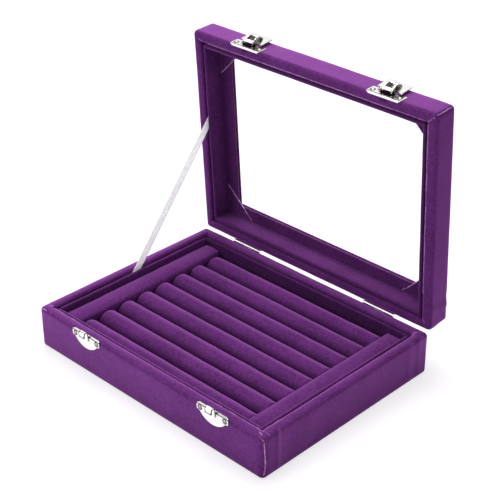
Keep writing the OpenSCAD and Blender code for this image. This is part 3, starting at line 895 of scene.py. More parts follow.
def run(start: Flat, end: Flat, pitch: float) -> list[Flat]:
    """Points of a straight run, without its ends.

    Args:
        start: where it starts.
        end: where it ends.
        pitch: the widest step.

    Returns:
        The points between the ends.
    """
    steps = max(1, math.ceil(math.dist(start, end) / pitch))
    return [
        (start[0] + (end[0] - start[0]) * i / steps, start[1] + (end[1] - start[1]) * i / steps)
        for i in range(1, steps)
    ]


@dataclass(frozen=True)
class RingPoint:
    """One point of a section that runs round a tray."""

    half_x: float
    half_y: float
    corner: float
    z: float
    free: float = 0.0


@dataclass(frozen=True)
class Crease:
    """A soft ridge or hollow in velvet, along an upright line."""

    side: Side
    along: float
    width: float
    height: float
    wander: float = 1.5


@dataclass
class WrappedVelvet:
    """Velvet wrapped round a tray, as one closed skin."""

    name: str
    section: list[RingPoint]
    move: Matrix = field(default_factory=lambda: Matrix.Identity(4))
    creases: tuple[Crease, ...] = ()
    pitch: float = 2.6
    corner_steps: int = 8
    unevenness: float = 0.16
    seed: int = 1
    finish: Finish = OUTER_VELVET

    def rows(self) -> np.ndarray:
        """Sweeps the section round the tray.

        Returns:
            Points by row and by section point, with how freely each one moves.
        """
        found = []
        for index, side in enumerate((Side.FRONT, Side.RIGHT, Side.BACK, Side.LEFT)):
            nx, ny = side.value
            tx, ty = -ny, nx
            reaches = [(p.half_y, p.half_x) if index % 2 == 0 else (p.half_x, p.half_y) for p in self.section]
            steps = math.ceil(2 * reaches[0][1] / self.pitch)
            for step in range(steps + 1):
                share = 2 * step / steps - 1
                row = []
                for p, (away, along) in zip(self.section, reaches):
                    slide = share * (along - p.corner)
                    row.append((nx * away + tx * slide, ny * away + ty * slide, p.z, p.free))
                found.append(row)
            for step in range(1, self.corner_steps):
                turn = math.radians(90 * step / self.corner_steps)
                row = []
                for p, (away, along) in zip(self.section, reaches):
                    out = away - p.corner + math.cos(turn) * p.corner
                    on = along - p.corner + math.sin(turn) * p.corner
                    row.append((nx * out + tx * on, ny * out + ty * on, p.z, p.free))
                found.append(row)
        return np.array(found)

    def lift(self, point: Vector, normal: Vector) -> float:
        """Says how far the velvet stands off its even skin at a point.

        Args:
            point: the point in millimetres, before the tray is moved.
            normal: the way that the skin faces there.

        Returns:
            The distance outwards in millimetres.
        """
        place = point + VELVET_SHIFT * self.seed
        broad, small = noise.noise(place / 24.0), noise.noise(place / 7.0)
        amount = self.unevenness * broad + 0.45 * self.unevenness * small
        for crease in self.creases:
            nx, ny = crease.side.value
            if normal.x * nx + normal.y * ny < 0.6:
                continue
            along = -point.x * ny + point.y * nx
            line = crease.along + crease.wander * ripple(crease.along, 0, point.z / 9.0)
            amount += crease.height * math.exp(-(((along - line) / crease.width) ** 2))
        return amount

    def build(self, body: Body, slot: str, *nodes: str) -> bpy.types.Object:
        """Builds the even skin, moves its free points along their normals and lets it ride.

        Args:
            body: the body that it rides on.
            slot: the record's material slot.
            nodes: the nodes that it stands for.

        Returns:
            The piece.
        """
        grid = self.rows()
        count, columns = grid.shape[:2]
        points = grid.reshape(-1, 4)
        faces = grid_faces(count, columns, True, True)
        shell = bpy.data.meshes.new(self.name + "_even")
        shell.from_pydata([tuple(p[:3]) for p in points], [], faces)
        even = bmesh.new()
        even.from_mesh(shell)
        bmesh.ops.recalc_face_normals(even, faces=even.faces)
        even.verts.ensure_lookup_table()
        moved = []
        for vertex, source in zip(even.verts, points):
            place = Vector(source[:3])
            if source[3] > 0 and vertex.normal.length > 0.5:
                place = place + vertex.normal * (self.lift(place, vertex.normal) * source[3])
            moved.append(tuple(place))
        even.free()
        bpy.data.meshes.remove(shell)
        made = piece_from(self.name, np.array(moved), faces, self.move)
        self.finish.dress(made)
        return settle(made, body, slot, *nodes)


def settle(piece: bpy.types.Object, body: Body, slot: str, *nodes: str) -> bpy.types.Object:
    """Lets a finished piece ride on a body and stand for nodes.

    Args:
        piece: the piece.
        body: the body that it rides on.
        slot: not used.
        nodes: the nodes that it stands for.

    Returns:
        The piece.
    """
    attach(piece, body.value)
    if nodes:
        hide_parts(*nodes)
    LOG.info("%s: %d faces on %s", piece.name, len(piece.data.polygons), body.value)
    return piece


def loft(sections: list[np.ndarray]) -> tuple[np.ndarray, list[Face]]:
    """Skins closed sections one after another and closes both ends.

    Args:
        sections: closed sections with the same number of points.

    Returns:
        The points, and the faces that join them.
    """
    columns = len(sections[0])
    points = np.concatenate(sections)
    faces = grid_faces(len(sections), columns, False, True)
    ends = []
    for first, section in ((0, sections[0]), ((len(sections) - 1) * columns, sections[-1])):
        ends.append(section.mean(axis=0))
        middle = len(points) + len(ends) - 1
        faces += [(first + i, first + (i + 1) % columns, middle) for i in range(columns)]
    return np.concatenate([points, np.array(ends)]), faces


def pad_section(half: float, low: float, high: float, top_r: float, low_r: float, crown: float) -> np.ndarray:
    """Section of a padded strip, seen along it.

    Args:
        half: half its width.
        low: height of its underside.
        high: height of its crest.
        top_r: radius of its upper edges.
        low_r: radius of its lower edges.
        crown: how far the middle of the top stands above its edges.

    Returns:
        Points as (across, up), anticlockwise.
    """
    shoulder = high - crown
    points = arc((half - low_r, low + low_r), low_r, -90, 0, 3)
    points += run(points[-1], (half, shoulder - top_r), 2.2)
    points += arc((half - top_r, shoulder - top_r), top_r, 0, 90, 6)
    for share in (0.6, 0.3, 0.0, -0.3, -0.6):
        points.append((share * (half - top_r), shoulder + crown * (1 - share * share)))
    points += arc((-half + top_r, shoulder - top_r), top_r, 90, 180, 6)
    points += run((-half, shoulder - top_r), (-half, low + low_r), 2.2)
    points += arc((-half + low_r, low + low_r), low_r, 180, 270, 3)
    points += run((-half + low_r, low), (half - low_r, low), 2.6)
    return np.array(points)


def end_stations(half_length: float, rounding: float, pitch: float) -> list[Flat]:
    """Stations along a strip whose ends are rounded.

    Args:
        half_length: half its length.
        rounding: radius of its ends.
        pitch: step between the stations of its straight part.

    Returns:
        Pairs of place along it and how far the section draws in there.
    """
    straight = half_length - rounding
    steps = math.ceil(2 * straight / pitch)
    middle = [(-straight + 2 * straight * i / steps, 0.0) for i in range(steps + 1)]
    cap = [
        (straight + rounding * math.sin(math.radians(t)), rounding * (1 - math.cos(math.radians(t))))
        for t in (15, 30, 45, 60, 75, 88)
    ]
    return [(-x, inset) for x, inset in reversed(cap)] + middle + cap


def puff(piece: bpy.types.Object, pressure: float, most: float, frames: int = 16) -> None:
    """Fills a padded piece with air as cloth, and caps how far it swells.

    Args:
        piece: the padded piece, unparented.
        pressure: the air's pressure.
        most: the furthest that a point may move, in millimetres.
        frames: how long it is filled.
    """
    before = np.empty(len(piece.data.vertices) * 3)
    piece.data.vertices.foreach_get("co", before)
    cloth = piece.modifiers.new("fill", "CLOTH")
    cloth.settings.use_pressure = True
    cloth.settings.uniform_pressure_force = pressure
    cloth.settings.effector_weights.gravity = 0.0
    cloth.settings.tension_stiffness = 40.0
    cloth.settings.compression_stiffness = 20.0
    cloth.settings.quality = 4
    cloth.point_cache.frame_start, cloth.point_cache.frame_end = 1, frames
    scene = bpy.context.scene
    for frame_number in range(1, frames + 1):
        scene.frame_set(frame_number)
    swollen = piece.evaluated_get(bpy.context.evaluated_depsgraph_get()).to_mesh()
    after = np.empty(len(swollen.vertices) * 3)
    swollen.vertices.foreach_get("co", after)
    piece.modifiers.remove(cloth)
    step = (after - before).reshape(-1, 3)
    length = np.linalg.norm(step, axis=1, keepdims=True)
    step *= np.minimum(1.0, most * MM / np.maximum(length, 1e-9))
    piece.data.vertices.foreach_set("co", (before.reshape(-1, 3) + step).ravel())
    piece.data.update()
    scene.frame_set(1)


def ruffle(piece: bpy.types.Object, amount: float, size: float, seed: int, low: float = -1e9) -> None:
    """Moves points in and out by smooth noise.

    Args:
        piece: the piece.
        amount: the furthest move in millimetres.
        size: size of the waves in millimetres.
        seed: which noise.
        low: points lower than this, in millimetres, stay.
    """
    shift = RUFFLE_SHIFT * seed
    normals = [v.normal.copy() for v in piece.data.vertices]
    for vertex, normal in zip(piece.data.vertices, normals):
        place = vertex.co / MM
        if place.z >= low:
            wave = noise.noise((place + shift) / size) + 0.4 * noise.noise((place + shift) / (size * 0.35))
            vertex.co += normal * (wave * amount * MM)


# ---- Frayed edges ----


def fray_tree() -> bpy.types.NodeTree:
    """Builds the geometry nodes that set loose threads along a line.

    Returns:
        The tree, with named inputs for the thread's sizes and the seed.
    """
    found = bpy.data.node_groups.get("loose_threads")
    if found:
        return found
    tree = bpy.data.node_groups.new("loose_threads", "GeometryNodeTree")
    face = tree.interface
    face.new_socket("Line", in_out="INPUT", socket_type="NodeSocketGeometry")
    for name, start in (("Spacing", 0.0005), ("Thread Length", 0.001), ("Thread Radius", 0.00005)):
        face.new_socket(name, in_out="INPUT", socket_type="NodeSocketFloat").default_value = start
    face.new_socket("Seed", in_out="INPUT", socket_type="NodeSocketInt").default_value = 3
    face.new_socket("Finish", in_out="INPUT", socket_type="NodeSocketMaterial")
    face.new_socket("Threads", in_out="OUTPUT", socket_type="NodeSocketGeometry")
    desk = NodeDesk(tree)
    given = desk.add("NodeGroupInput").outputs
    curve = desk.add("GeometryNodeMeshToCurve")
    desk.join(given["Line"], curve.inputs["Mesh"])
    spaced = desk.add("GeometryNodeResampleCurve", mode="LENGTH")
    desk.join(curve.outputs["Curve"], spaced.inputs["Curve"])
    desk.join(given["Spacing"], spaced.inputs["Length"])
    thread = desk.add("GeometryNodeMeshCone", Vertices=4, Side_Segments=2)
    desk.join(given["Thread Radius"], thread.inputs["Radius Bottom"])
    desk.join(desk.sums("MULTIPLY", given["Thread Radius"], 0.35), thread.inputs["Radius Top"])
    desk.join(given["Thread Length"], thread.inputs["Depth"])
    turn = desk.add("FunctionNodeRandomValue", data_type="FLOAT_VECTOR")
    turn.inputs["Min"].default_value, turn.inputs["Max"].default_value = (-1.2, -1.2, -3.1), (1.2, 1.2, 3.1)
    desk.join(given["Seed"], turn.inputs["Seed"])
    size = desk.add("FunctionNodeRandomValue", data_type="FLOAT")
    size.inputs[2].default_value, size.inputs[3].default_value = 0.4, 1.3
    desk.join(given["Seed"], size.inputs["Seed"])
    placed = desk.add("GeometryNodeInstanceOnPoints")
    desk.join(spaced.outputs["Curve"], placed.inputs["Points"])
    desk.join(thread.outputs["Mesh"], placed.inputs["Instance"])
    desk.join(turn.outputs[0], placed.inputs["Rotation"])
    desk.join(size.outputs[1], placed.inputs["Scale"])
    real = desk.add("GeometryNodeRealizeInstances")
    desk.join(placed.outputs["Instances"], real.inputs["Geometry"])
    painted = desk.add("GeometryNodeSetMaterial")
    desk.join(real.outputs["Geometry"], painted.inputs["Geometry"])
    desk.join(given["Finish"], painted.inputs["Material"])
    desk.join(painted.outputs["Geometry"], desk.add("NodeGroupOutput").inputs["Threads"])
    return tree


def threads_along(
    name: str, line: list[Vector], length: float, spacing: float, seed: int
) -> bpy.types.Object:
    """Sets loose threads along a line and makes them a plain mesh.

    Args:
        name: the piece's name.
        line: the line, in millimetres.
        length: length of a thread in millimetres.
        spacing: step between threads in millimetres.
        seed: which random turns.

    Returns:
        The threads.
    """
    mesh = bpy.data.meshes.new(name + "_line")
    mesh.from_pydata([tuple(p * MM) for p in line], [(i, i + 1) for i in range(len(line) - 1)], [])
    carrier = put_in_scene(name + "_line", mesh)
    tree = fray_tree()
    grow = carrier.modifiers.new("threads", "NODES")
    grow.node_group = tree
    keys = {item.name: item.identifier for item in tree.interface.items_tree if item.item_type == "SOCKET"}
    for key, value in (
        ("Spacing", spacing * MM), ("Thread Length", length * MM), ("Thread Radius", THREAD_RADIUS * MM),
        ("Seed", seed), ("Finish", FRAY.material()),
    ):
        grow[keys[key]] = value
    ready = carrier.evaluated_get(bpy.context.evaluated_depsgraph_get())
    grown = bpy.data.meshes.new_from_object(ready)
    grown.name = name
    bpy.data.objects.remove(carrier)
    return put_in_scene(name, grown)


@dataclass
class FrayedSeam:
    """A seam where two cut edges of velvet meet: a low wavy lip with loose threads.

    Its lip stands `lip` out of the velvet and reaches `root` into it; its threads are `loose` long.
    """

    name: str
    line: list[Vector]
    outwards: Vector
    lip: float = 0.7
    thickness: float = 0.5
    waviness: float = 0.7
    seed: int = 1
    loose: float = 1.1
    root: float = 0.45
    thread_step: float = 0.28

    def wavy_line(self) -> list[Vector]:
        """Bends the seam's line from side to side.

        Returns:
            The bent line, in millimetres.
        """
        chord = (self.line[-1] - self.line[0]).normalized()
        across = chord.cross(self.outwards).normalized()
        bent = []
        last = len(self.line) - 1
        for index, point in enumerate(self.line):
            fade = min(1.0, 4.0 * index / last, 4.0 * (last - index) / last) if last else 0.0
            place = point + SEAM_SHIFT * self.seed
            sway = noise.noise(place / 5.0) + 0.5 * noise.noise(place / 1.9)
            bent.append(point + across * (sway * self.waviness * fade))
        return bent

    def build(self, body: Body) -> list[bpy.types.Object]:
        """Builds the lip and its threads.

        Args:
            body: the body that they ride on.

        Returns:
            Both pieces.
        """
        line = self.wavy_line()
        chord = (self.line[-1] - self.line[0]).normalized()
        out, root = self.outwards.normalized(), self.root
        across = chord.cross(out).normalized()
        sections = []
        last = len(line) - 1
        for index, point in enumerate(line):
            grow = 0.55 + 0.45 * noise.noise(point / 2.3 + Vector((0, 0, 5.0 * self.seed)))
            taper = min(1.0, 0.25 + 3.0 * index / last, 0.25 + 3.0 * (last - index) / last)
            height, half = self.lip * grow * taper, self.thickness * 0.5 * (0.7 + 0.5 * taper)
            ring = [(-half, -root), (half, -root), (half * 0.8, height * 0.55), (half * 0.3, height),
                    (-half * 0.3, height * 0.95), (-half * 0.85, height * 0.5)]
            sections.append(np.array([tuple(point + across * a + out * h) for a, h in ring]))
        points, faces = loft(sections)
        lip = piece_from(self.name, points, faces)
        FRAY.dress(lip)
        settle(lip, body, "velvet")
        crest = [p + out * (self.lip * 0.35) for p in line]
        threads = threads_along(
            self.name + "_threads", crest, self.loose, self.thread_step, self.seed + 4
        )
        return [lip, settle(threads, body, "velvet")]


# ---- Sub-assemblies ----


def rim_section(sizes: BoxSizes, height: float, low: float, tuck: float) -> list[Flat]:
    """Section of a tray's velvet from the foot of its outer wall, over the rim and down inside.

    Args:
        sizes: the box's sizes.
        height: height of the rim.
        low: height at which the outer wall starts.
        tuck: how far it goes down inside.

    Returns:
        Points as (inwards from the outer face, up).
    """
    outer_r, lip_r = sizes.rim_radius, sizes.lip_radius
    points = run((0.0, low), (0.0, height - outer_r), 2.2)
    points += [(outer_r - c, z) for c, z in arc((0.0, height - outer_r), outer_r, 0, 90, 6)]
    points += run((outer_r, height), (sizes.wall - lip_r, height), 1.4)
    points += [(sizes.wall + c, z) for c, z in arc((-lip_r, height - lip_r), lip_r, 90, 0, 5)]
    points += run((sizes.wall, height - lip_r), (sizes.wall, height - tuck), 2.2)
    points.append((sizes.wall, height - tuck))
    return points


def backing_section(sizes: BoxSizes, height: float, low: float, tuck: float) -> list[Flat]:
    """Section of the glued side of the same velvet, from inside the wall back to its foot.

    Args:
        sizes: the box's sizes.
        height: height of the rim.
        low: height at which it ends.
        tuck: how far it goes down inside.

    Returns:
        Points as (inwards from the outer face, up).
    """
    skin = sizes.skin
    inner = sizes.wall - skin
    return [(inner, height - tuck), (inner, height - skin - 1.0), (inner - 1.0, height - skin),
            (skin + 1.4, height - skin), (skin, height - skin - 1.4), (skin, low)]


@dataclass
class LiningBoard:
    """One velvet-covered lining board, drawn standing up on its own."""

    name: str
    node: str
    side: Side
    thickness: float
    low: float
    high: float
    seed: int
    finish: Finish = LINING_VELVET
    clearance: float = 0.05
    rounding: float = 0.5
    sway: float = 0.18
    dip: float = 0.22

    def build(self, sizes: BoxSizes, body: Body, move: Matrix = IN_PLACE) -> bpy.types.Object:
        """Builds the board against its wall.

        Args:
            sizes: the box's sizes.
            body: the body that it rides on.
            move: where the tray goes.

        Returns:
            The piece.
        """
        nx, ny = self.side.value
        lengthwise = ny != 0
        half = self.thickness / 2
        half_length = (sizes.bed_x + sizes.liner if lengthwise else sizes.bed_y) - self.clearance
        face = (sizes.bed_y if lengthwise else sizes.bed_x) + half
        section = pad_section(half, self.low, self.high, half - 0.15, 0.3, 0.1)
        sections = []
        for place, inset in end_stations(half_length, self.rounding, 2.6):
            across = section[:, 0] * max(1.0 - inset / half, 0.12)
            up = section[:, 1] - inset * (section[:, 1] > (self.low + self.high) / 2)
            sway = self.sway * ripple(place / 28.0, self.seed * 3.1, 0.0)
            dip = self.dip * ripple(place / 17.0, self.seed * 7.7, 4.0)
            away = face + across + np.where(up > self.high - 6, sway, 0.0)
            raised = up + np.where(up > self.high - 3, dip, 0.0)
            x = nx * away + (place if lengthwise else 0.0)
            y = ny * away + (0.0 if lengthwise else place)
            sections.append(np.stack([x, y, raised], axis=1))
        points, faces = loft(sections)
        made = piece_from(self.name, points, faces, move)
        self.finish.dress(made)
        return settle(made, body, "lining_velvet", self.node)


@dataclass(frozen=True)
class CutEdge:
    """How far a cut edge of velvet stands out, how thick it is and how long its threads are."""

    lip: float
    thickness: float
    loose: float


PROUD_EDGE = CutEdge(0.95, 0.65, 1.1)
SOFT_EDGE = CutEdge(0.5, 0.42, 0.9)
THIN_EDGE = CutEdge(0.16, 0.26, 0.35)
FLAT_EDGE = CutEdge(0.12, 0.80, 0.10)

# Step between the points of a seam on the base, in millimetres.
SEAM_STEP = 0.5


@dataclass(frozen=True)
class SeamCourse:
    """A seam near a corner of the base.

    The corner is the right one where `sx` is 1 and the left one where it is -1, the back one where
    `sy` is 1 and the front one where it is -1. The seam faces away from the corner, and up as far as
    `rise` says. Its course is read by `BaseTray.on_wall`: the distance from the corner, then the height.
    """

    name: str
    sx: int
    sy: int
    rise: float
    edge: CutEdge
    course: tuple[Flat, ...]


BASE_SEAMS = (
    SeamCourse(
        "front_right", 1, -1, 0.0, PROUD_EDGE,
        ((0.8, 2.4), (1.8, 6.5), (2.2, 12.0), (1.9, 18.0), (1.4, 23.0), (0.9, 27.6)),
    ),
    SeamCourse(
        "front_right_top", 1, -1, 1.6, FLAT_EDGE,
        ((1.0, 27.2), (-0.2, 28.8), (-3.0, 29.6), (-5.4, 30.0), (-7.0, 31.0), (-8.6, 32.2), (-11.5, 33.4)),
    ),
    SeamCourse(
        "front_left", -1, -1, 0.4, SOFT_EDGE, ((0.8, 26.8), (-1.5, 27.8), (-4.5, 28.4), (-6.6, 28.4))
    ),
    SeamCourse("front_left_lip", -1, -1, 2.0, THIN_EDGE, ((-8.0, 33.1), (-20.0, 33.3), (-34.0, 33.2))),
    SeamCourse("front_right_lip", 1, -1, 2.0, THIN_EDGE, ((-12.0, 33.1), (-26.0, 33.3), (-44.0, 33.2))),
    SeamCourse("right_lip", 1, -1, 2.0, THIN_EDGE, ((8.0, 33.1), (14.0, 33.3), (22.0, 33.2))),
    SeamCourse("back_right", 1, 1, 0.0, THIN_EDGE, ((0.0, 19.0), (0.3, 23.0), (0.0, 27.6))),
    SeamCourse("back_left", -1, 1, 0.0, PROUD_EDGE, ((0.0, 19.0), (0.3, 23.0), (0.0, 27.6))),
    SeamCourse(
        "front_right_waist", 1, -1, 0.3, SOFT_EDGE,
        ((1.9, 22.0), (1.3, 24.6), (0.8, 27.2), (-0.6, 28.2), (-2.2, 28.6)),
    ),
)


@dataclass
class BaseTray:
    """The base: wrapped velvet, lining boards and frayed corner seams."""

    sizes: BoxSizes

    def section(self) -> list[RingPoint]:
        """Section of the base's velvet, closed.

        Returns:
            Its points round the section.
        """
        s = self.sizes
        low, foot = s.foot_sheet, s.foot_radius
        under = [(s.turn_under, low)] + run((s.turn_under, low), (foot, low), 3.0)
        under += [(foot - c, z) for c, z in arc((0.0, low + foot), foot, -90, 0, 4)]
        outside = rim_section(s, s.base_height, low + foot, s.turn_in)
        inside = backing_section(s, s.base_height, low + 1.4, s.turn_in)
        inside += [(s.velvet + 0.4, low + s.skin), (s.turn_under, low + s.skin)]
        points = []
        for inwards, z in under + outside + inside:
            corner = max(s.corner_radius - inwards, 0.0)
            loose = 1.0 if (inwards, z) in outside else 0.0
            points.append(RingPoint(s.width / 2 - inwards, s.depth / 2 - inwards, corner, z, loose))
        return points

    def build(self) -> None:
        """Builds and dresses every piece of the base but its hardware."""
        s = self.sizes
        creases = (
            Crease(Side.RIGHT, -61.0, 2.4, 0.22),
            Crease(Side.RIGHT, 61.0, 4.0, 0.4),
            Crease(Side.RIGHT, 66.0, 2.4, -0.3),
            Crease(Side.RIGHT, -69.0, 2.0, 0.25),
        )
        right, front_rim = s.width / 2, -(s.depth / 2 - s.wall + 0.7)
        # Painted highlights along soft folds of the right side and along the front rim's inner lip.
        painted_highlight_marks = (
            PaintedLightMark((right, -61.0, 0.0), 0.0, 1.6, UPRIGHT, 0.20),
            PaintedLightMark((right, 58.0, 0.0), 0.0, 2.4, UPRIGHT, 0.15),
            PaintedLightMark((right, 69.0, 0.0), 0.0, 2.4, UPRIGHT, 0.15),
            PaintedLightMark((0.0, front_rim, s.base_height - 0.3), 0.0, 0.7, ALONG_X, 0.3),
        )
        # Painted shade in folds of the right side.
        painted_shade_marks = (
            PaintedLightMark((right, 63.5, 0.0), 0.0, 2.6, UPRIGHT, 0.30),
            PaintedLightMark((right, -64.0, 0.0), 0.0, 1.5, UPRIGHT, 0.07),
        )
        velvet = replace(OUTER_VELVET, name="velvet_base", painted_highlight_marks=painted_highlight_marks, painted_shade_marks=painted_shade_marks)
        WrappedVelvet("base_velvet", self.section(), creases=creases, seed=2, finish=velvet).build(
            Body.BASE, "velvet", "base_cover"
        )
        top = s.base_height - s.liner_drop
        front = s.liner + s.groove - s.front_groove
        for name, side, thickness, seed, finish in (
            ("base_front", Side.FRONT, front, 1, LINING_VELVET),
            ("base_back", Side.BACK, s.liner, 2, SHADED_VELVET),
            ("base_left", Side.LEFT, s.liner, 3, LINING_VELVET),
            ("base_right", Side.RIGHT, s.liner, 4, LINING_VELVET),
        ):
            board = LiningBoard(
                name + "_lining", name + "_liner", side, thickness, s.floor_top, top, seed, finish
            )
            board.build(s, Body.BASE)
        self.build_seams()

    def on_wall(self, sx: int, sy: int, off: float, z: float) -> Vector:
        """Finds a point on the outside of the base near one of its corners.

        Args:
            sx: 1 at the right end, -1 at the left.
            sy: 1 at the back, -1 at the front.
            off: distance from the corner: below 0 on the long wall, above 0 on the short one.
            z: the height; what goes past the top of the rim runs in over it.

        Returns:
            The point in millimetres.
        """
        s = self.sizes
        trim = s.corner_radius * (1 - math.sqrt(0.5)) * max(0.0, 1 - abs(off) / s.corner_radius)
        past, height = max(z - s.base_height, 0.0), min(z, s.base_height)
        over = max(height - (s.base_height - s.rim_radius), 0.0)
        trim += s.rim_radius - math.sqrt(max(s.rim_radius**2 - over**2, 0.0))
        lip = min(max(s.rim_radius + past - (s.wall - s.lip_radius), 0.0), s.lip_radius)
        height -= s.lip_radius - math.sqrt(s.lip_radius**2 - lip**2)
        x = s.width / 2 - max(-off, 0.0)
        y = s.depth / 2 - max(off, 0.0)
        x -= trim if off > -s.corner_radius else 0.0
        y -= trim if off < s.corner_radius else 0.0
        x -= past if off > 0 else 0.0
        y -= past if off <= 0 else 0.0
        return Vector((sx * x, sy * y, height))

    def build_seams(self) -> None:
        """Builds the seams up the corners of the base, each along its own course."""
        for seed, seam in enumerate(BASE_SEAMS, 3):
            line = []
            for (off_a, z_a), (off_b, z_b) in zip(seam.course, seam.course[1:]):
                steps = max(2, math.ceil(math.dist((off_a, z_a), (off_b, z_b)) / SEAM_STEP))
                for i in range(steps):
                    off = off_a + (off_b - off_a) * (i / steps)
                    line.append(self.on_wall(seam.sx, seam.sy, off, z_a + (z_b - z_a) * (i / steps)))
            line.append(self.on_wall(seam.sx, seam.sy, *seam.course[-1]))
            out = Vector((seam.sx, seam.sy, seam.rise)).normalized()
            FrayedSeam(
                "base_seam_" + seam.name, line, out, lip=seam.edge.lip, thickness=seam.edge.thickness,
                waviness=0.3, seed=seed, loose=seam.edge.loose,
            ).build(Body.BASE)


@dataclass
class RingPad:
    """The insert: padded rolls with slots between them and a bar across each end."""

    sizes: BoxSizes
    rolls: int = 8
    slack: float = 0.2
    side_gap: float = 0.1
    end_gap: float = 0.25
    roll_flat: float = 0.55
    roll_rounding: float = 2.5
    roll_pressure: float = 3.0
    bar_gap: float = 0.15
    bar_end_gap: float = 0.35
    bar_rounding: float = 0.9
    bar_edge: float = 1.6
    bar_foot: float = 0.6
    bar_crown: float = 0.25
    bar_pressure: float = 1.0
    puff_most: float = 0.3
    unevenness: float = 0.10
    fill: float = 0.8

    def build(self) -> None:
        """Builds the rolls and the end bars, a little slack, so that their filling has room to swell."""
        s = self.sizes
        pitch = 2 * s.bed_y / self.rolls
        radius = pitch / 2 - self.slack
        crest = s.base_height - s.roll_drop - self.slack
        centre = crest - radius
        half_length = s.bed_x - self.side_gap - s.bar_width - self.end_gap
        floor = centre - radius + self.roll_flat
        turns = np.radians(np.arange(36) * 10.0)
        for index in range(self.rolls):
            y = -s.bed_y + pitch * (index + 0.5)
            sections = []
            for place, inset in end_stations(half_length, self.roll_rounding, 2.4):
                squeeze = radius - inset * 1.05
                sway = 0.12 * ripple(place / 30.0, index * 5.3, 1.0)
                rise = 0.18 * ripple(place / 22.0, index * 2.9, 7.0)
                across = y + sway + squeeze * np.cos(turns)
                up = np.maximum(centre + rise + squeeze * np.sin(turns), floor)
                sections.append(np.stack([np.full_like(across, place), across, up], axis=1))
            points, faces = loft(sections)
            roll = piece_from("padded_roll_%d" % (index + 1), points, faces)
            puff(roll, self.roll_pressure, self.puff_most)
            ruffle(roll, self.unevenness, 9.0, index + 3, low=centre)
            PAD_VELVET.dress(roll)
            settle(roll, Body.BASE, "padded_velvet", "ring_roll_%d" % (index + 1))
        for name, side in (("left", -1), ("right", 1)):
            self.build_bar(name, side, floor)

    def build_bar(self, name: str, side: int, floor: float) -> None:
        """Builds one end bar.

        Args:
            name: which bar.
            side: -1 for the left end, 1 for the right.
            floor: height of its underside.
        """
        s = self.sizes
        half = s.bar_width / 2 - self.slack
        middle = side * (s.bed_x - self.bar_gap - s.bar_width / 2)
        crest = s.base_height - s.bar_drop - self.bar_gap
        sections = []
        for place, inset in end_stations(s.bed_y - self.bar_end_gap, self.bar_rounding, 2.6):
            high = crest - inset + 0.2 * ripple(place / 26.0, side * 4.0, 2.0)
            section = pad_section(half - inset, floor, high, self.bar_edge, self.bar_foot, self.bar_crown)
            across = middle + section[:, 0]
            sections.append(np.stack([across, np.full_like(across, place), section[:, 1]], axis=1))
        points, faces = loft(sections)
        bar = piece_from(name + "_padded_bar", points, faces)
        puff(bar, self.bar_pressure, self.puff_most)
        ruffle(bar, self.unevenness, 11.0, 20 + side, low=floor + 4)
        PAD_VELVET.dress(bar)
        settle(bar, Body.BASE, "padded_velvet", name + "_end_bar")


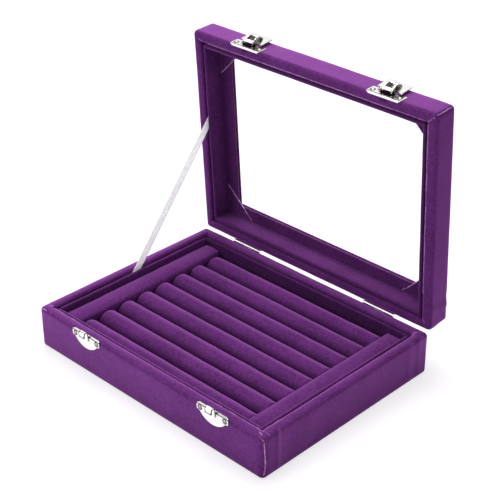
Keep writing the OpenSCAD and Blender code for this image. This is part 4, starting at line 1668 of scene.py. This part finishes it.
@dataclass
class GlazedLid:
    """The lid: wrapped velvet with a window, linings, and patches across the window's corners."""

    sizes: BoxSizes
    window_edge: float = 0.9
    border_edge: float = 0.45
    patch_cut: float = 4.5
    patch_gap: float = 0.1
    patch_levels: Flat = (0.03, 0.4)
    patch_steps: int = 14
    patch_edge_steps: int = 30

    @property
    def move(self) -> Matrix:
        """Turns a face-down drawing into the open lid."""
        return self.sizes.lid_opening() @ self.sizes.lid_from_face_down()

    def section(self) -> list[RingPoint]:
        """Section of the lid's velvet, closed, with the lid face down.

        Returns:
            Its points round the section.
        """
        s = self.sizes
        window_in = s.width / 2 - s.window_width / 2
        squash = (s.depth / 2 - s.window_depth / 2) / window_in
        ratio = (window_in * squash - s.wall) / (window_in - s.wall)
        glass_low = s.face - s.lining - s.glass - s.bedding
        edge_r = self.window_edge
        edge = [(window_in, glass_low), (window_in, edge_r + 0.05)]
        edge += [(window_in - edge_r + c, z) for c, z in arc((0.0, edge_r), edge_r, 0, -90, 4)]
        face = run((window_in - edge_r, 0.0), (s.rim_radius, 0.0), 2.6)
        face += [(s.rim_radius - c, z) for c, z in arc((0.0, s.rim_radius), s.rim_radius, -90, 0, 6)]
        outside = rim_section(s, s.lid_height, s.rim_radius, s.turn_in)
        inside = backing_section(s, s.lid_height, s.rim_radius, s.turn_in)
        skin = s.skin
        inside += [(skin + 1.4, skin), (window_in - skin, skin), (window_in - skin, glass_low)]
        points = []
        free = set(face + outside)
        for inwards, z in edge + face + outside + inside:
            inwards_y = min(inwards, s.wall) + max(inwards - s.wall, 0.0) * ratio
            corner = max(s.corner_radius - inwards, 0.0)
            loose = 1.0 if (inwards, z) in free else 0.0
            points.append(RingPoint(s.width / 2 - inwards, s.depth / 2 - inwards_y, corner, z, loose))
        return points

    def build(self) -> None:
        """Builds and dresses every piece of the lid but its hardware."""
        s = self.sizes
        creases = (Crease(Side.RIGHT, 57.0, 2.0, -0.35), Crease(Side.RIGHT, 61.0, 2.2, 0.4))
        latches = [s.lid_opening() @ Vector((x, -s.depth / 2, s.window_z)) for x in s.latch_x]
        # Painted shade on the velvet under each latch plate.
        painted_shade_marks = tuple(PaintedLightMark(tuple(place), 0.0, 5.2) for place in latches)
        velvet = replace(
            OUTER_VELVET, name="velvet_lid", bright=(0.172, 0.0390, 0.221), glow=(0.340, 0.100, 0.420),
            painted_shade_marks=painted_shade_marks,
        )
        WrappedVelvet("lid_velvet", self.section(), self.move, creases, seed=6, finish=velvet).build(
            Body.LID, "velvet", "lid_cover"
        )
        top = s.lid_height - s.lid_liner_drop
        for name, side, seed in (
            ("lid_front", Side.FRONT, 11), ("lid_back", Side.BACK, 12),
            ("lid_left", Side.LEFT, 13), ("lid_right", Side.RIGHT, 14),
        ):
            LiningBoard(name + "_lining", name + "_liner", side, s.liner, s.face, top, seed).build(
                s, Body.LID, self.move
            )
        self.build_border()
        self.build_patches()
        self.build_seams()

    def build_border(self) -> None:
        """Builds the velvet-covered sheet round the window."""
        s = self.sizes
        half_x, half_y = s.window_width / 2, s.window_depth / 2
        out_x, out_y = s.inner_x + s.velvet - 0.15, s.inner_y + s.velvet - 0.15
        low, high, edge = s.face - s.lining + 0.02, s.face, self.border_edge
        points = [RingPoint(out_x, out_y, 0.0, low), RingPoint(out_x, out_y, 0.0, high)]
        for share in (0.3, 0.5, 0.7, 0.85):
            points.append(RingPoint(out_x + (half_x + edge - out_x) * share,
                                    out_y + (half_y + edge - out_y) * share, 0.0, high, 1.0))
        for c, z in arc((edge, high - edge), edge, 90, 180, 4):
            points.append(RingPoint(half_x + c, half_y + c, 0.0, z, 0.3))
        points.append(RingPoint(half_x, half_y, 0.0, low))
        border = WrappedVelvet(
            "window_border", points, self.move, unevenness=0.08, seed=9, finish=LINING_VELVET
        )
        border.build(Body.LID, "lining_velvet", "window_lining")

    def build_patches(self) -> None:
        """Builds the four patches, then their frayed long edges."""
        s = self.sizes
        px, py = s.bed_x - self.patch_gap, s.bed_y - self.patch_gap
        leg = px + py - (s.window_width / 2 + s.window_depth / 2 - self.patch_cut)
        lines = []
        for index, (sx, sy) in enumerate(((-1, -1), (1, -1), (1, 1), (-1, 1))):
            corner = Vector((sx * px, sy * py, s.face))
            self.build_patch(index, corner, sx, sy, leg)
            line = []
            for i in range(self.patch_edge_steps + 1):
                share = i / self.patch_edge_steps
                sway = 0.3 * ripple(share * 12, index * 9.0, 2.0)
                x = corner.x - sx * (share * leg + sway)
                y = corner.y - sy * ((1 - share) * leg + sway)
                line.append(self.move @ Vector((x, y, corner.z + 0.3)))
            lines.append(line)
        outwards = self.move.to_3x3() @ Vector((0, 0, 1))
        for index, line in enumerate(lines):
            FrayedSeam(
                "patch_edge_%d" % (index + 1), line, outwards, lip=0.35, thickness=0.5, waviness=0.25,
                seed=20 + index,
            ).build(Body.LID)

    def build_patch(self, index: int, corner: Vector, sx: int, sy: int, leg: float) -> None:
        """Builds one three-cornered patch, laid on the border of the window.

        Args:
            index: which patch, from 0; the first stands for the node with all four.
            corner: its square corner, face down.
            sx: 1 at the right end, -1 at the left.
            sy: 1 at the hinge side, -1 at the front.
            leg: length of its short sides.
        """
        steps = self.patch_steps
        points = []
        for level in self.patch_levels:
            for i in range(steps + 1):
                for j in range(steps + 1):
                    a, b = i / steps, j / steps * (1 - i / steps)
                    on_edge = j == steps and 0 < i < steps
                    ragged = 0.35 * ripple(i * 0.9, index * 4.0, 1.0) if on_edge else 0.0
                    sag = max(0.12 * ripple(a * 5, b * 5, index * 3.0), -0.02)
                    z = corner.z + level + (0.0 if level == self.patch_levels[0] else sag)
                    points.append((corner.x - sx * (a * leg + ragged), corner.y - sy * (b * leg + ragged), z))
        faces = slab_faces(steps + 1, steps + 1, pointed=True)
        patch = piece_from("corner_patch_%d" % (index + 1), np.array(points), faces, self.move)
        PATCH_VELVET.dress(patch)
        settle(patch, Body.LID, "velvet_patch", *(("corner_patches",) if index == 0 else ()))

    def build_seams(self) -> None:
        """Builds the seams up the corners of the lid and the cut edges on its rim.

        An edge's ends are measured inwards from the lid's right and front sides.
        """
        s = self.sizes
        round_off = s.corner_radius * (1 - math.sqrt(0.5))
        turn = s.lid_opening()
        steps = 40
        for name, sx, sy, reach, seed in (
            ("front_right", 1, -1, 0.82, 31), ("front_left", -1, -1, 0.55, 32),
            ("back_right", 1, 1, 0.55, 33), ("back_left", -1, 1, 0.55, 34),
        ):
            out = turn.to_3x3() @ Vector((sx, sy, 0)).normalized()
            x, y = sx * (s.width / 2 - round_off), sy * (s.depth / 2 - round_off)
            low, high = s.lid_rim + 1.2, s.lid_rim + s.lid_height * reach
            line = [turn @ Vector((x, y, low + (high - low) * i / steps)) for i in range(steps + 1)]
            seam = FrayedSeam("lid_seam_" + name, line, out, lip=0.5, thickness=0.4, waviness=0.4, seed=seed)
            seam.build(Body.LID)
        out = turn.to_3x3() @ Vector((0, 0, -1))
        for name, start, end, seed in (
            ("mitre", (6.2, 6.2), (1.6, 1.8), 35), ("right_lip", (6.2, 7.6), (6.2, 124.0), 36),
            ("front_lip", (8.0, 6.2), (186.0, 6.2), 37),
        ):
            line = []
            steps = max(20, math.ceil(math.dist(start, end)))
            for i in range(steps + 1):
                x = s.width / 2 - (start[0] + (end[0] - start[0]) * i / steps)
                y = s.depth / 2 - (start[1] + (end[1] - start[1]) * i / steps)
                line.append(turn @ Vector((x, -y, s.lid_rim + 0.1)))
            FrayedSeam(
                "lid_" + name, line, out, lip=0.16, thickness=0.28, waviness=0.2, seed=seed, loose=0.25
            ).build(Body.LID)


@dataclass
class RibbonStay:
    """The satin ribbon that stops the lid."""

    sizes: BoxSizes
    width: float = 6.0
    thickness: float = 0.25
    base_y: float = 2.1
    lid_y: float = -8.5
    tail: float = 9.0
    rows: int = 121
    columns: int = 9

    def build(self) -> bpy.types.Object:
        """Builds the taut ribbon between base and lid.

        Returns:
            The piece.
        """
        s = self.sizes
        x = -(s.bed_x + s.liner + 0.2 + self.thickness / 2)
        start = Vector((x, self.base_y, s.base_height - s.liner_drop))
        end = s.lid_opening() @ Vector((x, self.lid_y, s.lid_rim + s.lid_liner_drop))
        along = (end - start).normalized()
        across = Vector((1, 0, 0)).cross(along).normalized()
        first, last = start - along * self.tail, end + along * self.tail
        length = (last - first).length
        points = []
        for level in (-0.5, 0.5):
            for row in range(self.rows):
                share = row / (self.rows - 1)
                for column in range(self.columns):
                    v = column / (self.columns - 1) - 0.5
                    cup = 0.10 * (1 - 4 * v * v) + 0.05 * ripple(share * 20, v * 3, 0)
                    selvedge = 0.75 if abs(v) > 0.45 else 0.5
                    place = first + along * (share * length) + across * (v * self.width)
                    points.append(tuple(place + Vector((cup + level * self.thickness * selvedge, 0, 0))))
        made = piece_from("ribbon_stay", np.array(points), slab_faces(self.rows, self.columns))
        layer = made.data.uv_layers.new(name="UVMap")
        for polygon in made.data.polygons:
            for corner in polygon.loop_indices:
                place = made.data.vertices[made.data.loops[corner].vertex_index].co / MM - first
                layer.data[corner].uv = (place.dot(across), place.dot(along) / 10.0)
        SATIN.dress(made)
        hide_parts("stay_ribbon")
        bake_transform(made)
        LOG.info("%s: %d faces", made.name, len(made.data.polygons))
        return made


@dataclass
class Hardware:
    """The boards, glass and nickel parts that the frame already has."""

    sizes: BoxSizes
    nodes: dict[str, bpy.types.Object]
    nail_dx: float = 10.1
    keeper_nail_z: float = 26.3
    latch_nail_z: float = 32.6
    sheet: float = 0.5
    hook_out: float = 3.8
    hook_width: float = 5.4
    hook_end: float = 28.5
    hook_top: float = 31.8
    keeper_bend: float = 0.55
    latch_bend: float = 0.7
    ear_dx: float = 4.3
    ear_rise: float = 1.0
    # Size of the painted dark ring round each nail.
    nail_radius: float = 1.5
    ring_width: float = 0.45

    def keeper_painted_shade(self, x: float) -> tuple[PaintedLightMark, ...]:
        """Lists the painted shade and dark reflections on a keeper.

        Args:
            x: the middle of the keeper.

        Returns:
            The bend under its flange, a ring round each nail, and the edges and corners of its hook.
        """
        face = -self.sizes.depth / 2 - self.sheet
        out = -self.sizes.depth / 2 - self.hook_out
        half = self.hook_width / 2
        marks = [PaintedLightMark((0.0, face, self.sizes.base_height - self.keeper_bend), 0.0, 0.5, ALONG_X)]
        for s in (-1, 1):
            nail = (x + s * self.nail_dx, face, self.keeper_nail_z)
            marks.append(PaintedLightMark(nail, self.nail_radius, self.ring_width))
        for s in (-1, 1):
            marks.append(PaintedLightMark((x + s * half, out, self.hook_end), 0.0, 1.5))
        for s in (-1, 1):
            marks.append(PaintedLightMark((x + s * half, out, self.hook_end), 0.0, 0.55, (1.0, 0.2, 0.0)))
        marks.append(PaintedLightMark((0.0, out, self.hook_end), 0.0, 0.75, ALONG_X))
        marks.append(PaintedLightMark((x - half, out + 0.4, self.hook_top), 0.0, 1.1))
        marks.append(PaintedLightMark((x + half + 1.1, face, self.hook_end + 1.2), 0.0, 1.7))
        return tuple(marks)

    def latch_painted_shade(self, x: float) -> tuple[PaintedLightMark, ...]:
        """Lists the painted shade and dark reflections on a latch plate of the open lid.

        Args:
            x: the middle of the plate.

        Returns:
            The bend at its flange, a ring round each nail and the feet of its ears.
        """
        turn = self.sizes.lid_opening()
        face = -self.sizes.depth / 2 - self.sheet
        bend = turn @ Vector((0.0, face, self.sizes.lid_rim + self.latch_bend))
        found = [PaintedLightMark((0.0, bend.y, bend.z), 0.0, 0.4, ALONG_X)]
        for s in (-1, 1):
            nail = turn @ Vector((x + s * self.nail_dx, face, self.latch_nail_z))
            ear = turn @ Vector((x + s * self.ear_dx, face - 0.6, self.latch_nail_z + self.ear_rise))
            found.append(PaintedLightMark(tuple(nail), self.nail_radius, self.ring_width))
            found.append(PaintedLightMark(tuple(ear), 0.6, 1.6))
        return tuple(found)

    def build(self) -> None:
        """Dresses each node by what it is made of."""
        special = {
            "glass_pane": GLASS, "insert_board": GREY_CARD, "foot_sheet": FOOT_FELT,
            "keeper_nails": DARKENED_NAIL_STEEL, "latch_nails": DARKENED_NAIL_STEEL,
            "left_lever": LEVER_NICKEL, "right_lever": LEVER_NICKEL,
        }
        for side, x in zip(("left", "right"), self.sizes.latch_x):
            # Painted shade and dark reflections on each keeper and latch plate, and on their sides that face
            # along X.
            special[side + "_keeper"] = NickelFinish(
                "nickel_%s_keeper" % side, creases=self.keeper_painted_shade(x), side=0.9
            )
            special[side + "_latch_plate"] = NickelFinish(
                "nickel_%s_latch_plate" % side, creases=self.latch_painted_shade(x), side=0.9
            )
        for name, node in self.nodes.items():
            if node.hide_render:
                continue
            if name in special:
                special[name].dress(node)
            elif name.endswith("_board"):
                FIBREBOARD.dress(node)
            else:
                NICKEL.dress(node)
            LOG.info("dressed %s", name)
        # The lamps' light falls straight through the pane onto the pads.
        self.nodes["glass_pane"].visible_shadow = False


PALE_LIGHT = (1.0, 0.985, 1.0, 1.0)


@dataclass
class Studio:
    """Camera, lamps, floor and the cards that polished metal mirrors."""

    azimuth: float = 44.45
    elevation: float = 29.57
    roll: float = -0.24
    distance: float = 932.6
    target: tuple[float, float, float] = (-64.8, 83.7, 20.0)
    lens: float = 94.95

    def build(self) -> None:
        """Sets the camera, the lamps, the world, the floor and the cards."""
        self.build_camera()
        self.build_lamps()
        self.build_world()
        self.build_floor()
        self.build_black_cards()

    def build_camera(self) -> None:
        """Places the camera."""
        data = bpy.data.cameras.new("camera")
        data.sensor_width = 36.0
        data.lens = self.lens
        data.clip_end = 20.0
        made = put_in_scene("camera", data)
        az, el, roll = (math.radians(v) for v in (self.azimuth, self.elevation, self.roll))
        back = Vector((math.sin(az) * math.cos(el), -math.cos(az) * math.cos(el), math.sin(el)))
        right = (-back).cross(Vector((0, 0, 1))).normalized()
        up = right.cross(-back)
        rolled_right = right * math.cos(roll) + up * math.sin(roll)
        rolled_up = up * math.cos(roll) - right * math.sin(roll)
        turn = Matrix((rolled_right, rolled_up, back)).transposed().to_4x4()
        made.matrix_world = Matrix.Translation((Vector(self.target) + back * self.distance) * MM) @ turn
        bpy.context.scene.camera = made

    def build_lamps(self) -> None:
        """Places a broad soft lamp overhead and a weaker one at the front left."""
        for name, place, aim, size, power in (
            ("overhead", (-0.30, 0.35, 1.25), (0.0, 0.03, 0.05), 0.9, 15.0),
            ("front_fill", (-0.9, -1.2, 0.7), (0.0, 0.0, 0.06), 1.2, 9.0),
        ):
            lamp = bpy.data.lights.new(name, "AREA")
            lamp.size = size
            lamp.energy = power
            made = put_in_scene(name, lamp)
            made.location = place
            made.rotation_euler = (Vector(aim) - Vector(place)).to_track_quat("-Z", "Y").to_euler()
            # The pane lets each lamp's light through by itself, so it isn't counted again in the glass.
            made.visible_transmission = False

    def build_world(self) -> None:
        """Lights from all round, and shows white to the camera, to glass and to metal."""
        world = bpy.data.worlds.new("studio")
        world.use_nodes = True
        bpy.context.scene.world = world
        desk = NodeDesk(world.node_tree)
        world.node_tree.nodes.clear()
        seen = self.seen_rays(desk)
        light = desk.add("ShaderNodeBackground", Color=PALE_LIGHT, Strength=0.45)
        white = desk.add("ShaderNodeBackground", Color=(1.0, 1.0, 1.0, 1.0), Strength=1.0)
        mixed = desk.mix_shaders(seen, light, white)
        desk.join(mixed, desk.add("ShaderNodeOutputWorld").inputs["Surface"])

    def seen_rays(self, desk: NodeDesk) -> bpy.types.NodeSocket:
        """Says which rays see the white background.

        Args:
            desk: the tree that asks.

        Returns:
            A socket that is 1 on rays from the camera, from metal and through glass, except where the
            ray through the glass comes from a matt surface.
        """
        path = desk.add("ShaderNodeLightPath").outputs
        some = desk.sums("MAXIMUM", path["Is Camera Ray"], path["Is Glossy Ray"])
        straight = desk.sums("LESS_THAN", path["Diffuse Depth"], 0.5)
        return desk.sums("MAXIMUM", some, desk.sums("MULTIPLY", path["Is Transmission Ray"], straight))

    def build_black_cards(self) -> None:
        """Stands black cards round the box that only polished metal sees."""
        black = bpy.data.materials.new("black_card")
        black.use_nodes = True
        shader = black.node_tree.nodes["Principled BSDF"]
        set_inputs(shader, Base_Color=(0.004, 0.004, 0.004, 1.0), Roughness=1.0, Specular_IOR_Level=0.0)
        for name, place, size in (
            ("card_by_camera", (0.62, -0.64, 0.50), (0.55, 0.5)),
            ("card_front_left", (-0.66, -0.62, 0.56), (0.5, 0.34)),
            ("card_back_right", (0.75, 0.62, 0.50), (0.6, 0.5)),
        ):
            middle = Vector(place)
            turn = (-middle).to_track_quat("Z", "Y").to_matrix()
            corners = [
                middle + turn @ Vector((x * size[0] / 2, y * size[1] / 2, 0.0))
                for x, y in ((-1, -1), (1, -1), (1, 1), (-1, 1))
            ]
            mesh = bpy.data.meshes.new(name)
            mesh.from_pydata([tuple(c) for c in corners], [], [(0, 1, 2, 3)])
            mesh.materials.append(black)
            card = put_in_scene(name, mesh)
            card.visible_camera = card.visible_diffuse = False
            card.visible_transmission = card.visible_shadow = False

    def build_floor(self) -> None:
        """Lays a pale floor that keeps the box's shadow."""
        bpy.ops.mesh.primitive_plane_add(size=8.0, location=(0, 0, -0.0002))
        floor = bpy.context.object
        floor.name = "studio_floor"
        paint = bpy.data.materials.new("studio_floor")
        paint.use_nodes = True
        desk = NodeDesk(paint.node_tree)
        shader = paint.node_tree.nodes["Principled BSDF"]
        set_inputs(shader, Base_Color=(0.92, 0.90, 0.95, 1.0), Roughness=0.9)
        glow = desk.add("ShaderNodeEmission", Color=PALE_LIGHT, Strength=1.25)
        mixed = desk.mix_shaders(desk.sums("MULTIPLY", self.seen_rays(desk), 0.55), shader, glow)
        desk.join(mixed, paint.node_tree.nodes["Material Output"].inputs["Surface"])
        floor.data.materials.append(paint)


def main() -> None:
    """Builds the box and the studio, in order."""
    logging.basicConfig(level=logging.INFO, format="%(name)s: %(message)s")
    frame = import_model()
    sizes = BoxSizes()
    BaseTray(sizes).build()
    RingPad(sizes).build()
    GlazedLid(sizes).build()
    RibbonStay(sizes).build()
    Hardware(sizes, frame["nodes"]).build()
    Studio().build()
    bpy.context.scene.view_settings.view_transform = "Standard"


if __name__ == "__main__":
    main()
